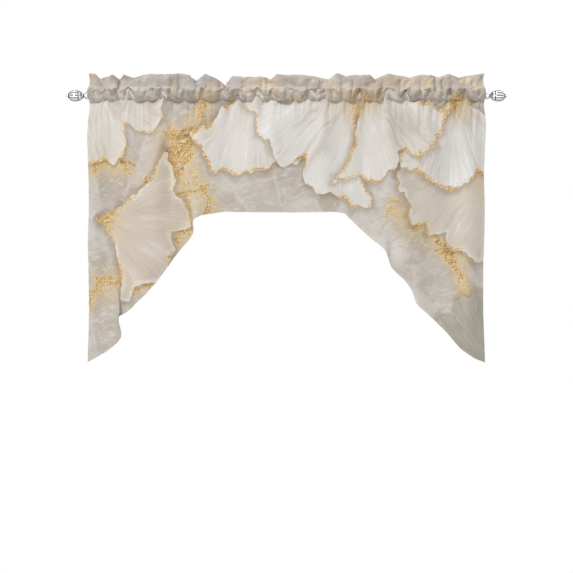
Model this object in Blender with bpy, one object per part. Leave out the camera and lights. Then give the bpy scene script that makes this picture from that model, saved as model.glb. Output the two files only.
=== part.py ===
"""Swag and tail valance on a pole, with a fluted finial in each end of the pole.

Metres, +Z up, the front of the cloth towards -Y. The origin is on the pole's axis,
halfway along it. The cloth is one piece: its heading is turned over to the back and
sewn twice, which leaves a frill above a pocket for the pole. Below the pocket it hangs
as one layer, arched in the middle and drawn out into a pointed tail at each side.
"""

import math
from collections import namedtuple

import bmesh
import bpy
import numpy as np
from mathutils import Vector

# ---- driving dimensions ----
HUNG_WIDTH = 1.248  # across the gathered cloth
UPPER_SEAM = 0.0255  # the seam above the pole, above its axis
LOWER_SEAM = -0.0200  # the seam below the pole
CLOTH = 0.0016  # one layer
POLE_RADIUS = 0.014
POLE_WALL = 0.0012
POLE_LENGTH = HUNG_WIDTH - 0.004
FINIAL_REACH = 0.076  # from the pole's end to the finial's tip
TOUCHING_GAP = 0.0003  # between pieces that touch
POLE_CLEARANCE = 0.0030  # between the pole and the cloth that rides on it

# ---- how finely the cloth is cut up ----
CLOSEST_COLUMNS = 0.0062
WIDEST_COLUMNS = 0.0160
FRILL_ROWS = 3
POCKET_FRONT_ROWS = 6
POCKET_BACK_ROWS = 5
BODY_ROWS = 9

# ---- the frill's top edge, from the left end to the right ----
Edge = namedtuple("Edge", "x rise")
FRILL_EDGE = (
    Edge(-0.625, 0.069),
    Edge(-0.605, 0.069),
    Edge(-0.592, 0.054),
    Edge(-0.550, 0.067),
    Edge(-0.528, 0.053),
    Edge(-0.513, 0.067),
    Edge(-0.488, 0.059),
    Edge(-0.432, 0.069),
    Edge(-0.337, 0.070),
    Edge(-0.309, 0.066),
    Edge(-0.286, 0.050),
    Edge(-0.257, 0.069),
    Edge(-0.221, 0.055),
    Edge(-0.193, 0.034),
    Edge(-0.172, 0.062),
    Edge(-0.082, 0.062),
    Edge(-0.051, 0.054),
    Edge(-0.031, 0.067),
    Edge(0.051, 0.066),
    Edge(0.094, 0.061),
    Edge(0.133, 0.054),
    Edge(0.158, 0.070),
    Edge(0.186, 0.063),
    Edge(0.214, 0.066),
    Edge(0.263, 0.066),
    Edge(0.277, 0.054),
    Edge(0.321, 0.069),
    Edge(0.386, 0.060),
    Edge(0.428, 0.066),
    Edge(0.456, 0.066),
    Edge(0.479, 0.059),
    Edge(0.511, 0.069),
    Edge(0.544, 0.059),
    Edge(0.625, 0.070),
)

# ---- where the upper seam is pinched back, and where the lower seam's pleats stand forward ----
Gather = namedtuple("Gather", "x depth width")
PINCHES = (
    Gather(-0.580, 0.009, 0.010),
    Gather(-0.531, 0.012, 0.009),
    Gather(-0.460, 0.006, 0.012),
    Gather(-0.363, 0.005, 0.008),
    Gather(-0.340, 0.010, 0.008),
    Gather(-0.285, 0.008, 0.010),
    Gather(-0.255, 0.006, 0.008),
    Gather(-0.212, 0.006, 0.008),
    Gather(-0.194, 0.012, 0.009),
    Gather(-0.138, 0.006, 0.009),
    Gather(-0.079, 0.008, 0.008),
    Gather(-0.062, 0.006, 0.007),
    Gather(-0.038, 0.003, 0.008),
    Gather(0.029, 0.004, 0.010),
    Gather(0.066, 0.003, 0.009),
    Gather(0.106, 0.012, 0.009),
    Gather(0.145, 0.003, 0.008),
    Gather(0.175, 0.006, 0.009),
    Gather(0.208, 0.008, 0.009),
    Gather(0.258, 0.003, 0.010),
    Gather(0.303, 0.010, 0.009),
    Gather(0.357, 0.006, 0.008),
    Gather(0.376, 0.004, 0.007),
    Gather(0.423, 0.006, 0.009),
    Gather(0.470, 0.007, 0.008),
    Gather(0.493, 0.011, 0.008),
    Gather(0.521, 0.004, 0.008),
    Gather(0.562, 0.003, 0.012),
)
PLEATS = (
    Gather(-0.570, 0.014, 0.012),
    Gather(-0.531, 0.010, 0.007),
    Gather(-0.500, 0.016, 0.014),
    Gather(-0.445, 0.004, 0.012),
    Gather(-0.395, 0.015, 0.015),
    Gather(-0.369, 0.008, 0.006),
    Gather(-0.325, 0.007, 0.010),
    Gather(-0.268, 0.016, 0.009),
    Gather(-0.206, 0.013, 0.014),
    Gather(-0.155, 0.011, 0.017),
    Gather(-0.094, 0.016, 0.014),
    Gather(-0.049, 0.011, 0.015),
    Gather(0.020, 0.005, 0.012),
    Gather(0.072, 0.013, 0.020),
    Gather(0.117, 0.016, 0.010),
    Gather(0.175, 0.008, 0.011),
    Gather(0.230, 0.014, 0.014),
    Gather(0.274, 0.004, 0.010),
    Gather(0.319, 0.016, 0.014),
    Gather(0.377, 0.011, 0.014),
    Gather(0.415, 0.005, 0.009),
    Gather(0.452, 0.014, 0.020),
    Gather(0.513, 0.012, 0.013),
    Gather(0.564, 0.012, 0.016),
    Gather(0.606, 0.004, 0.010),
)

# ---- creases that cross the pocket's front, from one seam towards the other ----
# start and end are how far down the pocket a crease runs, from 0 at the upper seam to 1.
Crease = namedtuple("Crease", "x_start x_end depth width start end")
CREASES = (
    Crease(-0.577, -0.547, 0.006, 0.0060, 0.10, 0.95),
    Crease(-0.527, -0.544, 0.005, 0.0055, 0.20, 0.95),
    Crease(-0.516, -0.482, 0.007, 0.0060, 0.25, 1.00),
    Crease(-0.449, -0.426, 0.006, 0.0070, 0.08, 0.60),
    Crease(-0.398, -0.424, 0.006, 0.0070, 0.08, 0.60),
    Crease(-0.337, -0.316, 0.008, 0.0060, 0.15, 1.00),
    Crease(-0.282, -0.275, 0.006, 0.0045, 0.05, 0.70),
    Crease(-0.252, -0.262, 0.006, 0.0045, 0.05, 0.70),
    Crease(-0.207, -0.192, 0.007, 0.0055, 0.02, 0.70),
    Crease(-0.172, -0.186, 0.006, 0.0050, 0.05, 0.65),
    Crease(-0.136, -0.118, 0.007, 0.0065, 0.05, 0.70),
    Crease(-0.054, -0.017, 0.007, 0.0060, 0.15, 0.95),
    Crease(-0.006, 0.018, 0.005, 0.0080, 0.25, 0.60),
    Crease(0.040, 0.052, 0.005, 0.0070, 0.10, 0.55),
    Crease(0.104, 0.090, 0.006, 0.0070, 0.10, 0.80),
    Crease(0.125, 0.150, 0.006, 0.0070, 0.15, 0.75),
    Crease(0.174, 0.188, 0.008, 0.0060, 0.20, 1.00),
    Crease(0.224, 0.272, 0.006, 0.0065, 0.15, 0.95),
    Crease(0.306, 0.284, 0.006, 0.0055, 0.15, 0.95),
    Crease(0.358, 0.374, 0.006, 0.0060, 0.10, 0.85),
    Crease(0.396, 0.388, 0.005, 0.0060, 0.10, 0.60),
    Crease(0.430, 0.424, 0.006, 0.0060, 0.05, 0.85),
    Crease(0.472, 0.468, 0.006, 0.0055, 0.05, 0.70),
    Crease(0.492, 0.497, 0.008, 0.0060, 0.05, 0.95),
    Crease(0.523, 0.531, 0.005, 0.0070, 0.10, 0.60),
    Crease(0.566, 0.603, 0.005, 0.0080, 0.15, 0.95),
)

# ---- the folds that hang below the pocket ----
# x is where a fold starts, drop and end are how far below the pole it is full and has gone,
# depth is how far it stands forward (back, if negative), and lean is its slant to the right.
Fold = namedtuple("Fold", "x depth width lean drop end")
FOLDS = (
    Fold(-0.600, 0.006, 0.026, 0.00, 0.30, 1.20),
    Fold(-0.560, -0.006, 0.030, 0.02, 0.25, 0.80),
    Fold(-0.505, 0.007, 0.024, -0.03, 0.12, 0.50),
    Fold(-0.455, -0.006, 0.032, 0.00, 0.25, 0.95),
    Fold(-0.401, 0.007, 0.024, -0.02, 0.16, 0.60),
    Fold(-0.366, -0.009, 0.020, 0.00, 0.16, 0.42),
    Fold(-0.262, 0.008, 0.042, -0.08, 0.22, 0.60),
    Fold(-0.183, -0.009, 0.028, 0.02, 0.10, 0.50),
    Fold(-0.125, 0.005, 0.030, 0.03, 0.16, 0.55),
    Fold(-0.050, 0.007, 0.040, 0.00, 0.12, 0.60),
    Fold(0.045, -0.006, 0.034, 0.08, 0.14, 0.50),
    Fold(0.108, 0.008, 0.022, 0.03, 0.12, 0.42),
    Fold(0.165, -0.005, 0.026, 0.02, 0.14, 0.40),
    Fold(0.235, -0.008, 0.040, 0.05, 0.20, 0.50),
    Fold(0.322, 0.009, 0.028, 0.04, 0.16, 0.55),
    Fold(0.385, -0.006, 0.026, 0.02, 0.18, 0.60),
    Fold(0.453, 0.007, 0.026, 0.02, 0.16, 0.75),
    Fold(0.525, -0.006, 0.030, 0.01, 0.20, 0.80),
    Fold(0.598, 0.006, 0.028, -0.02, 0.25, 1.10),
    Fold(-0.405, -0.020, 0.052, 0.13, 0.50, 0.80),
    Fold(-0.470, 0.010, 0.040, 0.03, 0.62, 1.00),
    Fold(-0.585, -0.008, 0.030, 0.02, 0.74, 1.20),
    Fold(0.395, 0.012, 0.040, -0.05, 0.50, 0.90),
    Fold(0.470, -0.012, 0.040, -0.02, 0.58, 1.00),
    Fold(0.560, 0.010, 0.036, 0.02, 0.70, 1.20),
)

# ---- folds so deep that the cloth doubles back on itself, near the hem ----
# gathered is how far each side is drawn in, and step how far the left side stands in front.
Roll = namedtuple("Roll", "x drop reach width gathered step")
ROLLS = (
    Roll(-0.303, 0.41, 0.12, 0.017, 0.0155, -0.018),
    Roll(-0.530, 0.71, 0.12, 0.015, 0.0330, 0.017),
    Roll(0.322, 0.52, 0.16, 0.020, 0.0110, 0.012),
    Roll(0.402, 0.64, 0.16, 0.020, 0.0110, -0.012),
)

# ---- where the hem's edge curls a little to one side ----
Sway = namedtuple("Sway", "x drop aside width height")
SWAYS = (
    Sway(-0.300, 0.425, 0.0080, 0.030, 0.028),
    Sway(-0.530, 0.708, -0.0095, 0.040, 0.026),
)

# ---- the hem, as the drop below the pole's axis ----
Hem = namedtuple("Hem", "x drop")
HEM = (
    Hem(-0.630, 0.846),
    Hem(-0.600, 0.829),
    Hem(-0.572, 0.811),
    Hem(-0.558, 0.794),
    Hem(-0.545, 0.766),
    Hem(-0.515, 0.706),
    Hem(-0.478, 0.657),
    Hem(-0.448, 0.630),
    Hem(-0.408, 0.584),
    Hem(-0.371, 0.532),
    Hem(-0.338, 0.482),
    Hem(-0.316, 0.446),
    Hem(-0.290, 0.394),
    Hem(-0.266, 0.377),
    Hem(-0.200, 0.367),
    Hem(-0.100, 0.368),
    Hem(0.030, 0.369),
    Hem(0.150, 0.367),
    Hem(0.182, 0.371),
    Hem(0.232, 0.420),
    Hem(0.300, 0.482),
    Hem(0.336, 0.540),
    Hem(0.372, 0.585),
    Hem(0.414, 0.655),
    Hem(0.450, 0.693),
    Hem(0.506, 0.749),
    Hem(0.548, 0.800),
    Hem(0.590, 0.830),
    Hem(0.630, 0.846),
)

# ---- how far the two side edges stray outwards, from the tails' tips up to the frill ----
Side = namedtuple("Side", "rise left right")
SIDES = (
    Side(-0.846, 0.0060, 0.0030),
    Side(-0.690, 0.0010, -0.0030),
    Side(-0.530, 0.0030, -0.0030),
    Side(-0.460, 0.0050, 0.0000),
    Side(-0.360, 0.0015, 0.0020),
    Side(-0.250, 0.0030, -0.0010),
    Side(-0.130, 0.0075, 0.0045),
    Side(-0.085, 0.0050, 0.0060),
    Side(-0.030, -0.0020, -0.0010),
    Side(0.009, 0.0050, 0.0025),
    Side(0.041, -0.0030, -0.0040),
    Side(0.070, 0.0010, -0.0010),
)
SIDE_REACH = 0.12  # how far in from a side edge its straying is felt

HARDEST_PINCH = 0.012
SEAM_FORWARD = 0.0150  # how far the upper seam stands forward between two pinches
FRILL_FORWARD = 0.0040  # how far the frill's top edge stands forward
SEAM_DIP = 0.0092  # how far the hardest pinches pull it down, onto the pole
POCKET_BULGE = 0.0205  # how far the pocket stands out from between its two seams
PUFF = 0.0110  # how much further it stands between two gathers
BACK_PUFF = 0.0034  # the same behind the pole, where the cloth lies flatter
SWELL = 0.0140  # how far a puff stands up over the upper seam
DROOP = 0.0130  # how far a puff sags over the lower seam
FRILL_TILT = 0.8  # how far the frill's edge leans back, for each unit that it dips
FRILL_MEAN = 0.064
BODY_PLANE = 0.003  # the body hangs here, just behind the pole's axis
PLEAT_LIFT = 0.20  # how far a pleat draws the lower seam up, for each unit of its depth
PLEAT_SPREAD = 0.08  # below the lower seam a pleat is twice as wide over this drop
PLEAT_FADE = 0.055  # and it fades over this drop

# ---- a finial, turned ring by ring outwards from the pole's end ----
Ring = namedtuple("Ring", "along radius")
RINGS = (
    Ring(0.0022, 0.0140),
    Ring(0.0024, 0.0086),
    Ring(0.0045, 0.0098),
    Ring(0.0080, 0.0109),
    Ring(0.0125, 0.0110),
    Ring(0.0165, 0.0093),
    Ring(0.0186, 0.0066),
    Ring(0.0200, 0.0052),
    Ring(0.0216, 0.0052),
    Ring(0.0228, 0.0074),
    Ring(0.0255, 0.0110),
    Ring(0.0290, 0.0142),
    Ring(0.0325, 0.0160),
    Ring(0.0356, 0.0168),
    Ring(0.0362, 0.0148),
    Ring(0.0374, 0.0148),
    Ring(0.0382, 0.0174),
    Ring(0.0420, 0.0190),
    Ring(0.0470, 0.0196),
    Ring(0.0520, 0.0190),
    Ring(0.0570, 0.0172),
    Ring(0.0615, 0.0146),
    Ring(0.0650, 0.0116),
    Ring(0.0672, 0.0084),
    Ring(0.0684, 0.0078),
    Ring(0.0694, 0.0068),
    Ring(0.0700, 0.0036),
    Ring(0.0724, 0.0040),
    Ring(0.0746, 0.0030),
)
SPIGOT_LENGTH = 0.022  # the part of a finial that sits inside the pole
SPIGOT_CHAMFER = 0.001

Flute = namedtuple("Flute", "start end depth")
FLUTES = (
    Flute(0.0225, 0.0360, 0.10),
    Flute(0.0378, 0.0670, 0.12),
)
LOBES = 12
LOBE_STEPS = 4


# ---- curves that the cloth follows ----
def bell(t):
    """1 at the middle, falling smoothly to 0 on both sides."""
    return np.exp(-t * t)


def ease(t):
    """0 to 1 as t goes from 0 to 1, level at both ends."""
    t = np.clip(t, 0.0, 1.0)
    return t * t * (3 - 2 * t)


def along(x, rows, column, soften):
    """A table's column read at x, with its corners rounded over `soften`."""
    xs = [row.x for row in rows]
    values = [getattr(row, column) for row in rows]
    taps = ((-soften, 0.25), (0.0, 0.5), (soften, 0.25))
    return sum(share * np.interp(x + shift, xs, values) for shift, share in taps)


def unevenness(x, size):
    """A slow wandering, up to about `size` either way, along the cloth."""
    return size * (0.6 * np.sin(47 * x + 0.6) + 0.4 * np.sin(83 * x + 2.1))


def gathers(x, rows, spread):
    """How deep the gathers of a seam are at x, `spread` times as wide as at the seam."""
    return sum(row.depth * bell((x - row.x) / (row.width * spread)) for row in rows)


def clear_of_pole(y, z):
    """The point, eased straight out from the pole's axis where it would touch the pole."""
    nearest = POLE_RADIUS + POLE_CLEARANCE + CLOTH / 2
    soft = CLOTH / 2
    distance = np.maximum(np.hypot(y, z), 1e-6)
    beyond = np.logaddexp(0.0, (distance - nearest) / soft) * soft
    return y * (nearest + beyond) / distance, z * (nearest + beyond) / distance


def strayed(x, z):
    """x, moved sideways where the point is near one of the uneven side edges."""
    rises = [row.rise for row in SIDES]
    left, right = ([getattr(row, side) for row in SIDES] for side in ("left", "right"))
    near = ease((np.abs(x) - HUNG_WIDTH / 2) / SIDE_REACH + 1)
    outwards = np.where(x < 0, -np.interp(z, rises, left), np.interp(z, rises, right))
    return x + near * outwards


def upper_seam(x):
    """(y, z) of the upper seam, which sits down on the pole where it is pinched hardest."""
    pinch = np.minimum(gathers(x, PINCHES, 1.0), HARDEST_PINCH)
    share = pinch / HARDEST_PINCH
    rise = UPPER_SEAM + unevenness(x, 0.0012) * (1 - share)
    return pinch - SEAM_FORWARD, rise - SEAM_DIP * share**2


def lower_seam(x):
    """(y, z) of the lower seam."""
    push = gathers(x, PLEATS, 1.0)
    return BODY_PLANE - push, LOWER_SEAM + unevenness(-x, 0.0012) + PLEAT_LIFT * push


def frill(x, up):
    """A point of the frill, from the upper seam (up 0) to its top edge (up 1)."""
    seam_y, seam_z = upper_seam(x)
    edge = along(x, FRILL_EDGE, "rise", 0.004)
    tilt = np.clip(FRILL_TILT * (FRILL_MEAN - edge), -0.006, 0.014)
    forward = FRILL_FORWARD + (SEAM_FORWARD - FRILL_FORWARD) * (1 - up) ** 2
    creases = 1.2 * gathers(x, PINCHES, 1 + 1.6 * up) * (1 - 0.8 * up) - forward
    y = seam_y * (1 - ease(4 * up)) + creases * ease(4 * up) + tilt * up**1.3
    return x, y, seam_z + (edge - seam_z) * up


def pocket(x, down, side):
    """A point of the pocket from the upper seam (down 0) to the lower; side is -1 in front."""
    upper_y, upper_z = upper_seam(x)
    lower_z = lower_seam(x)[1]
    low = ease(down)
    narrow = 0.30 + 0.70 * ease((down - 0.30) / 0.70)  # a pleat widens downwards
    push = gathers(x, PLEATS, narrow)
    pinched = np.minimum(gathers(x, PINCHES, 1.2) / 0.008, 1.0)
    pleated = np.minimum(push / 0.011, 1.0)
    puffed = (1 - low) * (1 - pinched) + low * (1 - pleated)
    swell = np.sin(np.pi * down)
    full = 1 + unevenness(x + 1.0, 0.25)
    bulge = POCKET_BULGE + (PUFF if side < 0 else BACK_PUFF) * full * puffed
    y = (1 - down) ** 3 * upper_y + down**3 * (BODY_PLANE - push) + side * bulge * swell**0.8
    z = upper_z + (lower_z - upper_z) * (1 - np.cos(np.pi * down)) / 2
    if side < 0:
        for row in CREASES:
            share = np.clip((down - row.start) / (row.end - row.start), 0.0, 1.0)
            middle = row.x_start + (row.x_end - row.x_start) * share
            y = y + row.depth * np.sin(np.pi * share) ** 0.7 * bell((x - middle) / row.width)
    z = z + SWELL * (1 - pinched) * swell * (1 - down) ** 2
    z = z - DROOP * (1 - pleated) * swell * down**2
    y, z = clear_of_pole(y, z)
    return x, y, z


def body(x, down):
    """A point of the hanging cloth, from the lower seam (down 0) to the hem (down 1)."""
    seam_z = lower_seam(x)[1]
    drop = -seam_z + (along(x, HEM, "drop", 0.006) + seam_z) * down
    hung = drop + seam_z
    y = BODY_PLANE - gathers(x, PLEATS, 1 + hung / PLEAT_SPREAD) * np.exp(-hung / PLEAT_FADE)
    for row in FOLDS:
        width = row.width * (0.7 + 0.3 * np.minimum(drop / row.drop, 1.6))
        middle = row.x + row.lean * drop
        full = ease(hung / row.drop) * (1 - ease((drop - row.drop) / (row.end - row.drop)))
        y = y - row.depth * full * bell((x - middle) / width)
    aside = np.zeros_like(y)
    for row in ROLLS:
        t = (x - row.x) / row.width
        full = ease((drop - row.drop + row.reach) / row.reach)
        aside = aside - row.gathered * full * t * bell(t / math.sqrt(2))
        y = y + row.step * full * t * bell(t / 2)
    for row in SWAYS:
        aside = aside + row.aside * bell((x - row.x) / row.width) * bell((drop - row.drop) / row.height)
    return x + aside, y, -drop


# ---- the cloth as one closed solid ----
def column_places():
    """One column on each gather of either seam, and more where these are far apart."""
    marks = sorted(row.x for row in PINCHES + PLEATS) + [HUNG_WIDTH / 2]
    places = [-HUNG_WIDTH / 2]
    for mark in marks:
        gap = mark - places[-1]
        if gap >= CLOSEST_COLUMNS:
            steps = math.ceil(gap / WIDEST_COLUMNS)
            places += [places[-1] + gap * (i + 1) / steps for i in range(steps - 1)] + [mark]
    return np.array(places)


def layer(shape, levels, *more):
    """A layer's middle as an array of points, column by column and level by level."""
    x, levels = np.meshgrid(column_places(), levels, indexing="ij")
    x, y, z = shape(x, levels, *more)
    return np.stack((strayed(x, z), y, z), axis=-1)


def normals(points):
    """The unit normals of a layer whose levels run downwards: they face the front."""
    across = np.gradient(points, axis=0)
    down = np.gradient(points, axis=1)
    normal = np.cross(down, across)
    return normal / np.linalg.norm(normal, axis=-1, keepdims=True)


def faces_of_strip(mesh, first, second, turned):
    """Quads between two neighbouring columns' loops, both closed and of one length."""
    count = len(first)
    for i in range(count):
        j = (i + 1) % count
        corners = (first[i], second[i], second[j], first[j])
        mesh.faces.new(corners[::-1] if turned else corners)


def end_cap(mesh, front, back, tunnel, turned):
    """Closes one end of the cloth: frill, pocket and body, with the pocket left open.

    front and back run from the frill's edge to the hem; tunnel runs down the inside of
    the pocket's front and up the inside of its back.
    """
    seam, foot = FRILL_ROWS, FRILL_ROWS + POCKET_FRONT_ROWS
    back_foot = FRILL_ROWS + POCKET_BACK_ROWS
    cells = [
        (front[i], front[i + 1], back[i + 1], back[i]) for i in range(FRILL_ROWS)
    ]
    cells.append((front[seam], tunnel[0], back[seam]))
    for i in range(POCKET_FRONT_ROWS):
        cells.append((front[seam + i], front[seam + i + 1], tunnel[i + 1], tunnel[i]))
    for i in range(POCKET_BACK_ROWS):
        upper, lower = -i % len(tunnel), -(i + 1)
        cells.append((tunnel[upper], tunnel[lower], back[seam + i + 1], back[seam + i]))
    cells.append((front[foot], back[back_foot], tunnel[POCKET_FRONT_ROWS]))
    for i in range(BODY_ROWS):
        cells.append((front[foot + i], front[foot + i + 1], back[back_foot + i + 1], back[back_foot + i]))
    for corners in cells:
        mesh.faces.new(corners[::-1] if turned else corners)


def make_cloth(material):
    up = np.linspace(1, 0, FRILL_ROWS + 1)
    front_levels = np.linspace(0, 1, POCKET_FRONT_ROWS + 1)
    back_levels = np.linspace(0, 1, POCKET_BACK_ROWS + 1)
    body_levels = np.linspace(0, 1, BODY_ROWS + 1) ** 1.25

    ruffle = layer(frill, up)
    pocket_front = layer(pocket, front_levels, -1)
    pocket_back = layer(pocket, back_levels, 1)
    hanging = layer(body, body_levels)
    half = CLOTH / 2
    frill_out = normals(ruffle) * CLOTH
    front_out = normals(pocket_front) * half
    back_out = normals(pocket_back) * half
    body_out = normals(hanging) * half
    toward_front = np.array((0.0, -CLOTH, 0.0))

    front = [ruffle[:, i] + frill_out[:, i] for i in range(FRILL_ROWS)]
    front += [ruffle[:, -1] + toward_front]
    front += [pocket_front[:, i] + front_out[:, i] for i in range(1, POCKET_FRONT_ROWS)]
    front += [hanging[:, 0] + toward_front]
    front += [hanging[:, i] + body_out[:, i] for i in range(1, BODY_ROWS + 1)]
    back = [ruffle[:, i] - frill_out[:, i] for i in range(FRILL_ROWS)]
    back += [ruffle[:, -1] - toward_front]
    back += [pocket_back[:, i] - back_out[:, i] for i in range(1, POCKET_BACK_ROWS)]
    back += [hanging[:, 0] - toward_front]
    back += [hanging[:, i] - body_out[:, i] for i in range(1, BODY_ROWS + 1)]
    tunnel = [ruffle[:, -1] + np.array((0.0, 0.0, -CLOTH))]
    tunnel += [pocket_front[:, i] - front_out[:, i] for i in range(1, POCKET_FRONT_ROWS)]
    tunnel += [hanging[:, 0] + np.array((0.0, 0.0, CLOTH))]
    tunnel += [pocket_back[:, i] + back_out[:, i] for i in range(POCKET_BACK_ROWS - 1, 0, -1)]

    mesh = bmesh.new()
    columns = []
    for c in range(len(ruffle)):
        loops = [[mesh.verts.new(row[c]) for row in part] for part in (front, back, tunnel)]
        columns.append(loops)
    for (front_a, back_a, inside_a), (front_b, back_b, inside_b) in zip(columns, columns[1:]):
        faces_of_strip(mesh, front_a + back_a[::-1], front_b + back_b[::-1], False)
        faces_of_strip(mesh, inside_a, inside_b, True)
    end_cap(mesh, *columns[0], False)
    end_cap(mesh, *columns[-1], True)
    bmesh.ops.triangulate(mesh, faces=mesh.faces)
    if mesh.calc_volume(signed=True) < 0:
        bmesh.ops.reverse_faces(mesh, faces=mesh.faces)
    add_object("valance", mesh, material)


# ---- the pole and its finials ----
def turned(profile, steps):
    """A mesh turned about the X axis from (along the axis, radius) points."""
    mesh = bmesh.new()
    points = [mesh.verts.new((x, 0.0, radius)) for x, radius in profile]
    edges = [mesh.edges.new(pair) for pair in zip(points, points[1:])]
    bmesh.ops.spin(
        mesh,
        geom=points + edges,
        cent=(0, 0, 0),
        axis=(1, 0, 0),
        angle=math.tau,
        steps=steps,
        use_merge=True,
    )
    bmesh.ops.remove_doubles(mesh, verts=mesh.verts, dist=1e-6)
    bmesh.ops.recalc_face_normals(mesh, faces=mesh.faces)
    return mesh


def add_object(name, mesh, material):
    data = bpy.data.meshes.new(name)
    mesh.to_mesh(data)
    mesh.free()
    data.materials.append(material)
    data.shade_smooth()
    data.set_sharp_from_angle(angle=math.radians(35))
    piece = bpy.data.objects.new(name, data)
    bpy.context.scene.collection.objects.link(piece)
    return piece


def make_pole(material):
    end = POLE_LENGTH / 2
    inside = POLE_RADIUS - POLE_WALL
    ring = [(-end, POLE_RADIUS), (end, POLE_RADIUS), (end, inside), (-end, inside)]
    add_object("pole", turned(ring + ring[:1], LOBES * LOBE_STEPS), material)


def finial_profile():
    """(along, radius) from the spigot inside the pole to the tip, along from the pole's end."""
    spigot = POLE_RADIUS - POLE_WALL - TOUCHING_GAP
    plug = [
        (-SPIGOT_LENGTH, 0.0),
        (-SPIGOT_LENGTH, spigot - SPIGOT_CHAMFER),
        (SPIGOT_CHAMFER - SPIGOT_LENGTH, spigot),
        (TOUCHING_GAP, spigot),
        (TOUCHING_GAP, POLE_RADIUS),
    ]
    return plug + [tuple(row) for row in RINGS] + [(FINIAL_REACH, 0.0)]


def flute(mesh, start, end, depth):
    """Cuts the grooves between the lobes, where start < x < end."""
    for vertex in mesh.verts:
        radius = math.hypot(vertex.co.y, vertex.co.z)
        if not start < vertex.co.x < end or radius < 1e-5:
            continue
        angle = math.atan2(vertex.co.y, vertex.co.z)
        share = 1 - abs(math.sin(angle * LOBES / 2)) ** 0.6
        spread = math.sin(math.pi * (vertex.co.x - start) / (end - start)) ** 0.5
        scale = 1 - depth * share * spread
        vertex.co = Vector((vertex.co.x, vertex.co.y * scale, vertex.co.z * scale))


def make_finials(material):
    for name, side in (("finial_left", -1), ("finial_right", 1)):
        mesh = turned(finial_profile(), LOBES * LOBE_STEPS)
        for row in FLUTES:
            flute(mesh, row.start, row.end, row.depth)
        finial = add_object(name, mesh, material)
        finial.location.x = side * POLE_LENGTH / 2
        finial.rotation_euler.z = 0.0 if side > 0 else math.pi


# ---- finishes ----
def make_material(name, colour, roughness, metallic):
    material = bpy.data.materials.new(name)
    material.use_nodes = True
    shader = material.node_tree.nodes["Principled BSDF"]
    shader.inputs["Base Color"].default_value = (*colour, 1.0)
    shader.inputs["Roughness"].default_value = roughness
    shader.inputs["Metallic"].default_value = metallic
    return material


def main():
    for old in list(bpy.data.objects):
        bpy.data.objects.remove(old, do_unlink=True)
    make_cloth(make_material("printed_cloth", (0.60, 0.54, 0.47), 0.85, 0.0))
    silver = make_material("polished_silver", (0.78, 0.78, 0.80), 0.22, 1.0)
    make_pole(silver)
    make_finials(silver)


main()
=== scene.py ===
"""Finishes a cloth swag valance on its pole.

The cloth is one printed sheet. Its heading is turned over to the back and sewn twice, which
leaves a frill above a pocket for the pole, and below the pocket it hangs as one layer, arched
in the middle and drawn out into a pointed tail at each side. The finials are turned, fluted
and plated. Metres, +Z up, the front of the cloth towards -Y, the origin on the pole's axis.
"""

import math
from collections import namedtuple

import bmesh
import bpy
import numpy as np
from bpy.props import FloatProperty, FloatVectorProperty, IntProperty, PointerProperty
from bpy.types import Operator, Panel, PropertyGroup
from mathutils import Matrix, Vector, noise


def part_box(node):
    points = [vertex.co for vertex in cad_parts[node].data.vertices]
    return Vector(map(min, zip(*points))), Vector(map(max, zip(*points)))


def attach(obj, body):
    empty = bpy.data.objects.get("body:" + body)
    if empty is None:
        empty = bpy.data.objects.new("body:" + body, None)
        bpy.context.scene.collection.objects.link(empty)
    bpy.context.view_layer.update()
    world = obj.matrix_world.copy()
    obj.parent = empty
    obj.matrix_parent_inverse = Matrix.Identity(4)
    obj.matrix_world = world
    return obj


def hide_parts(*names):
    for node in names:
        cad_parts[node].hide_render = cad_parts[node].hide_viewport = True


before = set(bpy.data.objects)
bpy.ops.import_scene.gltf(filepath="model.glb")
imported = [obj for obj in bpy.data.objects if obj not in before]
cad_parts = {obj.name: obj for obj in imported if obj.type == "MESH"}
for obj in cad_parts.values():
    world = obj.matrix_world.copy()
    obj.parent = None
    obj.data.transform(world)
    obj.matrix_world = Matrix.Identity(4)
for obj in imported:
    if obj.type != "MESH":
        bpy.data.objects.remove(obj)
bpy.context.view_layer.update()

bl_info = {
    "name": "Swag Valance",
    "version": (1, 0, 0),
    "blender": (4, 5, 0),
    "location": "View3D > Sidebar > Swag",
    "description": "Sews a printed swag valance with a pole pocket and turns its finials",
    "category": "Object",
}

POLE_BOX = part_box("pole")

# ---- the cloth's sizes, in metres ----
HUNG_WIDTH = 1.248
FULLNESS = 1.057  # the flat cloth's width over the hung cloth's
POLE_RADIUS = 0.014
POLE_CLEARANCE = 0.0024
POLE_SOFTLY = 0.0012  # how gradually the cloth is turned away from the pole
UPPER_SEAM = 0.0255
LOWER_SEAM = -0.0200
POCKET_DEEP = 0.066  # the pocket's one layer, laid flat
FRILL_DEEP = 0.045
TURNED_UNDER = 0.010  # the raw edge, turned under below the lower seam
HEM_DEEP = 0.013  # from the hem's edge to its stitches
HEM_ROUNDED = 0.006  # how far the corners of the hem's line are rounded
HARDEST_PINCH = 0.012  # a gather this deep pulls the upper seam right down
DEEP_PINCH = 0.010  # a gather this deep leaves no puff beside it at the upper seam
DEEP_PLEAT = 0.014  # and one this deep none at the lower seam
SEAM_FORWARD = 0.0150  # how far the upper seam stands forward between two pinches
SEAM_DIP = 0.0092  # how far the hardest pinches pull it down, onto the pole
BACK_REACH = 0.0195  # from the pole's axis to the pocket's back, behind the pole
BACK_PUFF = 0.0034  # how much further it stands between two gathers
SWELL = 0.006  # how far a puff stands up over the upper seam
TONGUE_BROADER = 1.7  # a tongue's width over its pleat's
TONGUE_FULL = 0.017  # a gather this deep has a full tongue
TONGUE = 0.021  # how far the hardest pleats draw the lower seam up between two puffs
RIDGE_RISE = 0.012  # height of the pocket's ridge
RIDGE_PINCHED = -0.029  # how far forward its curve is pulled at a gather
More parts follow.
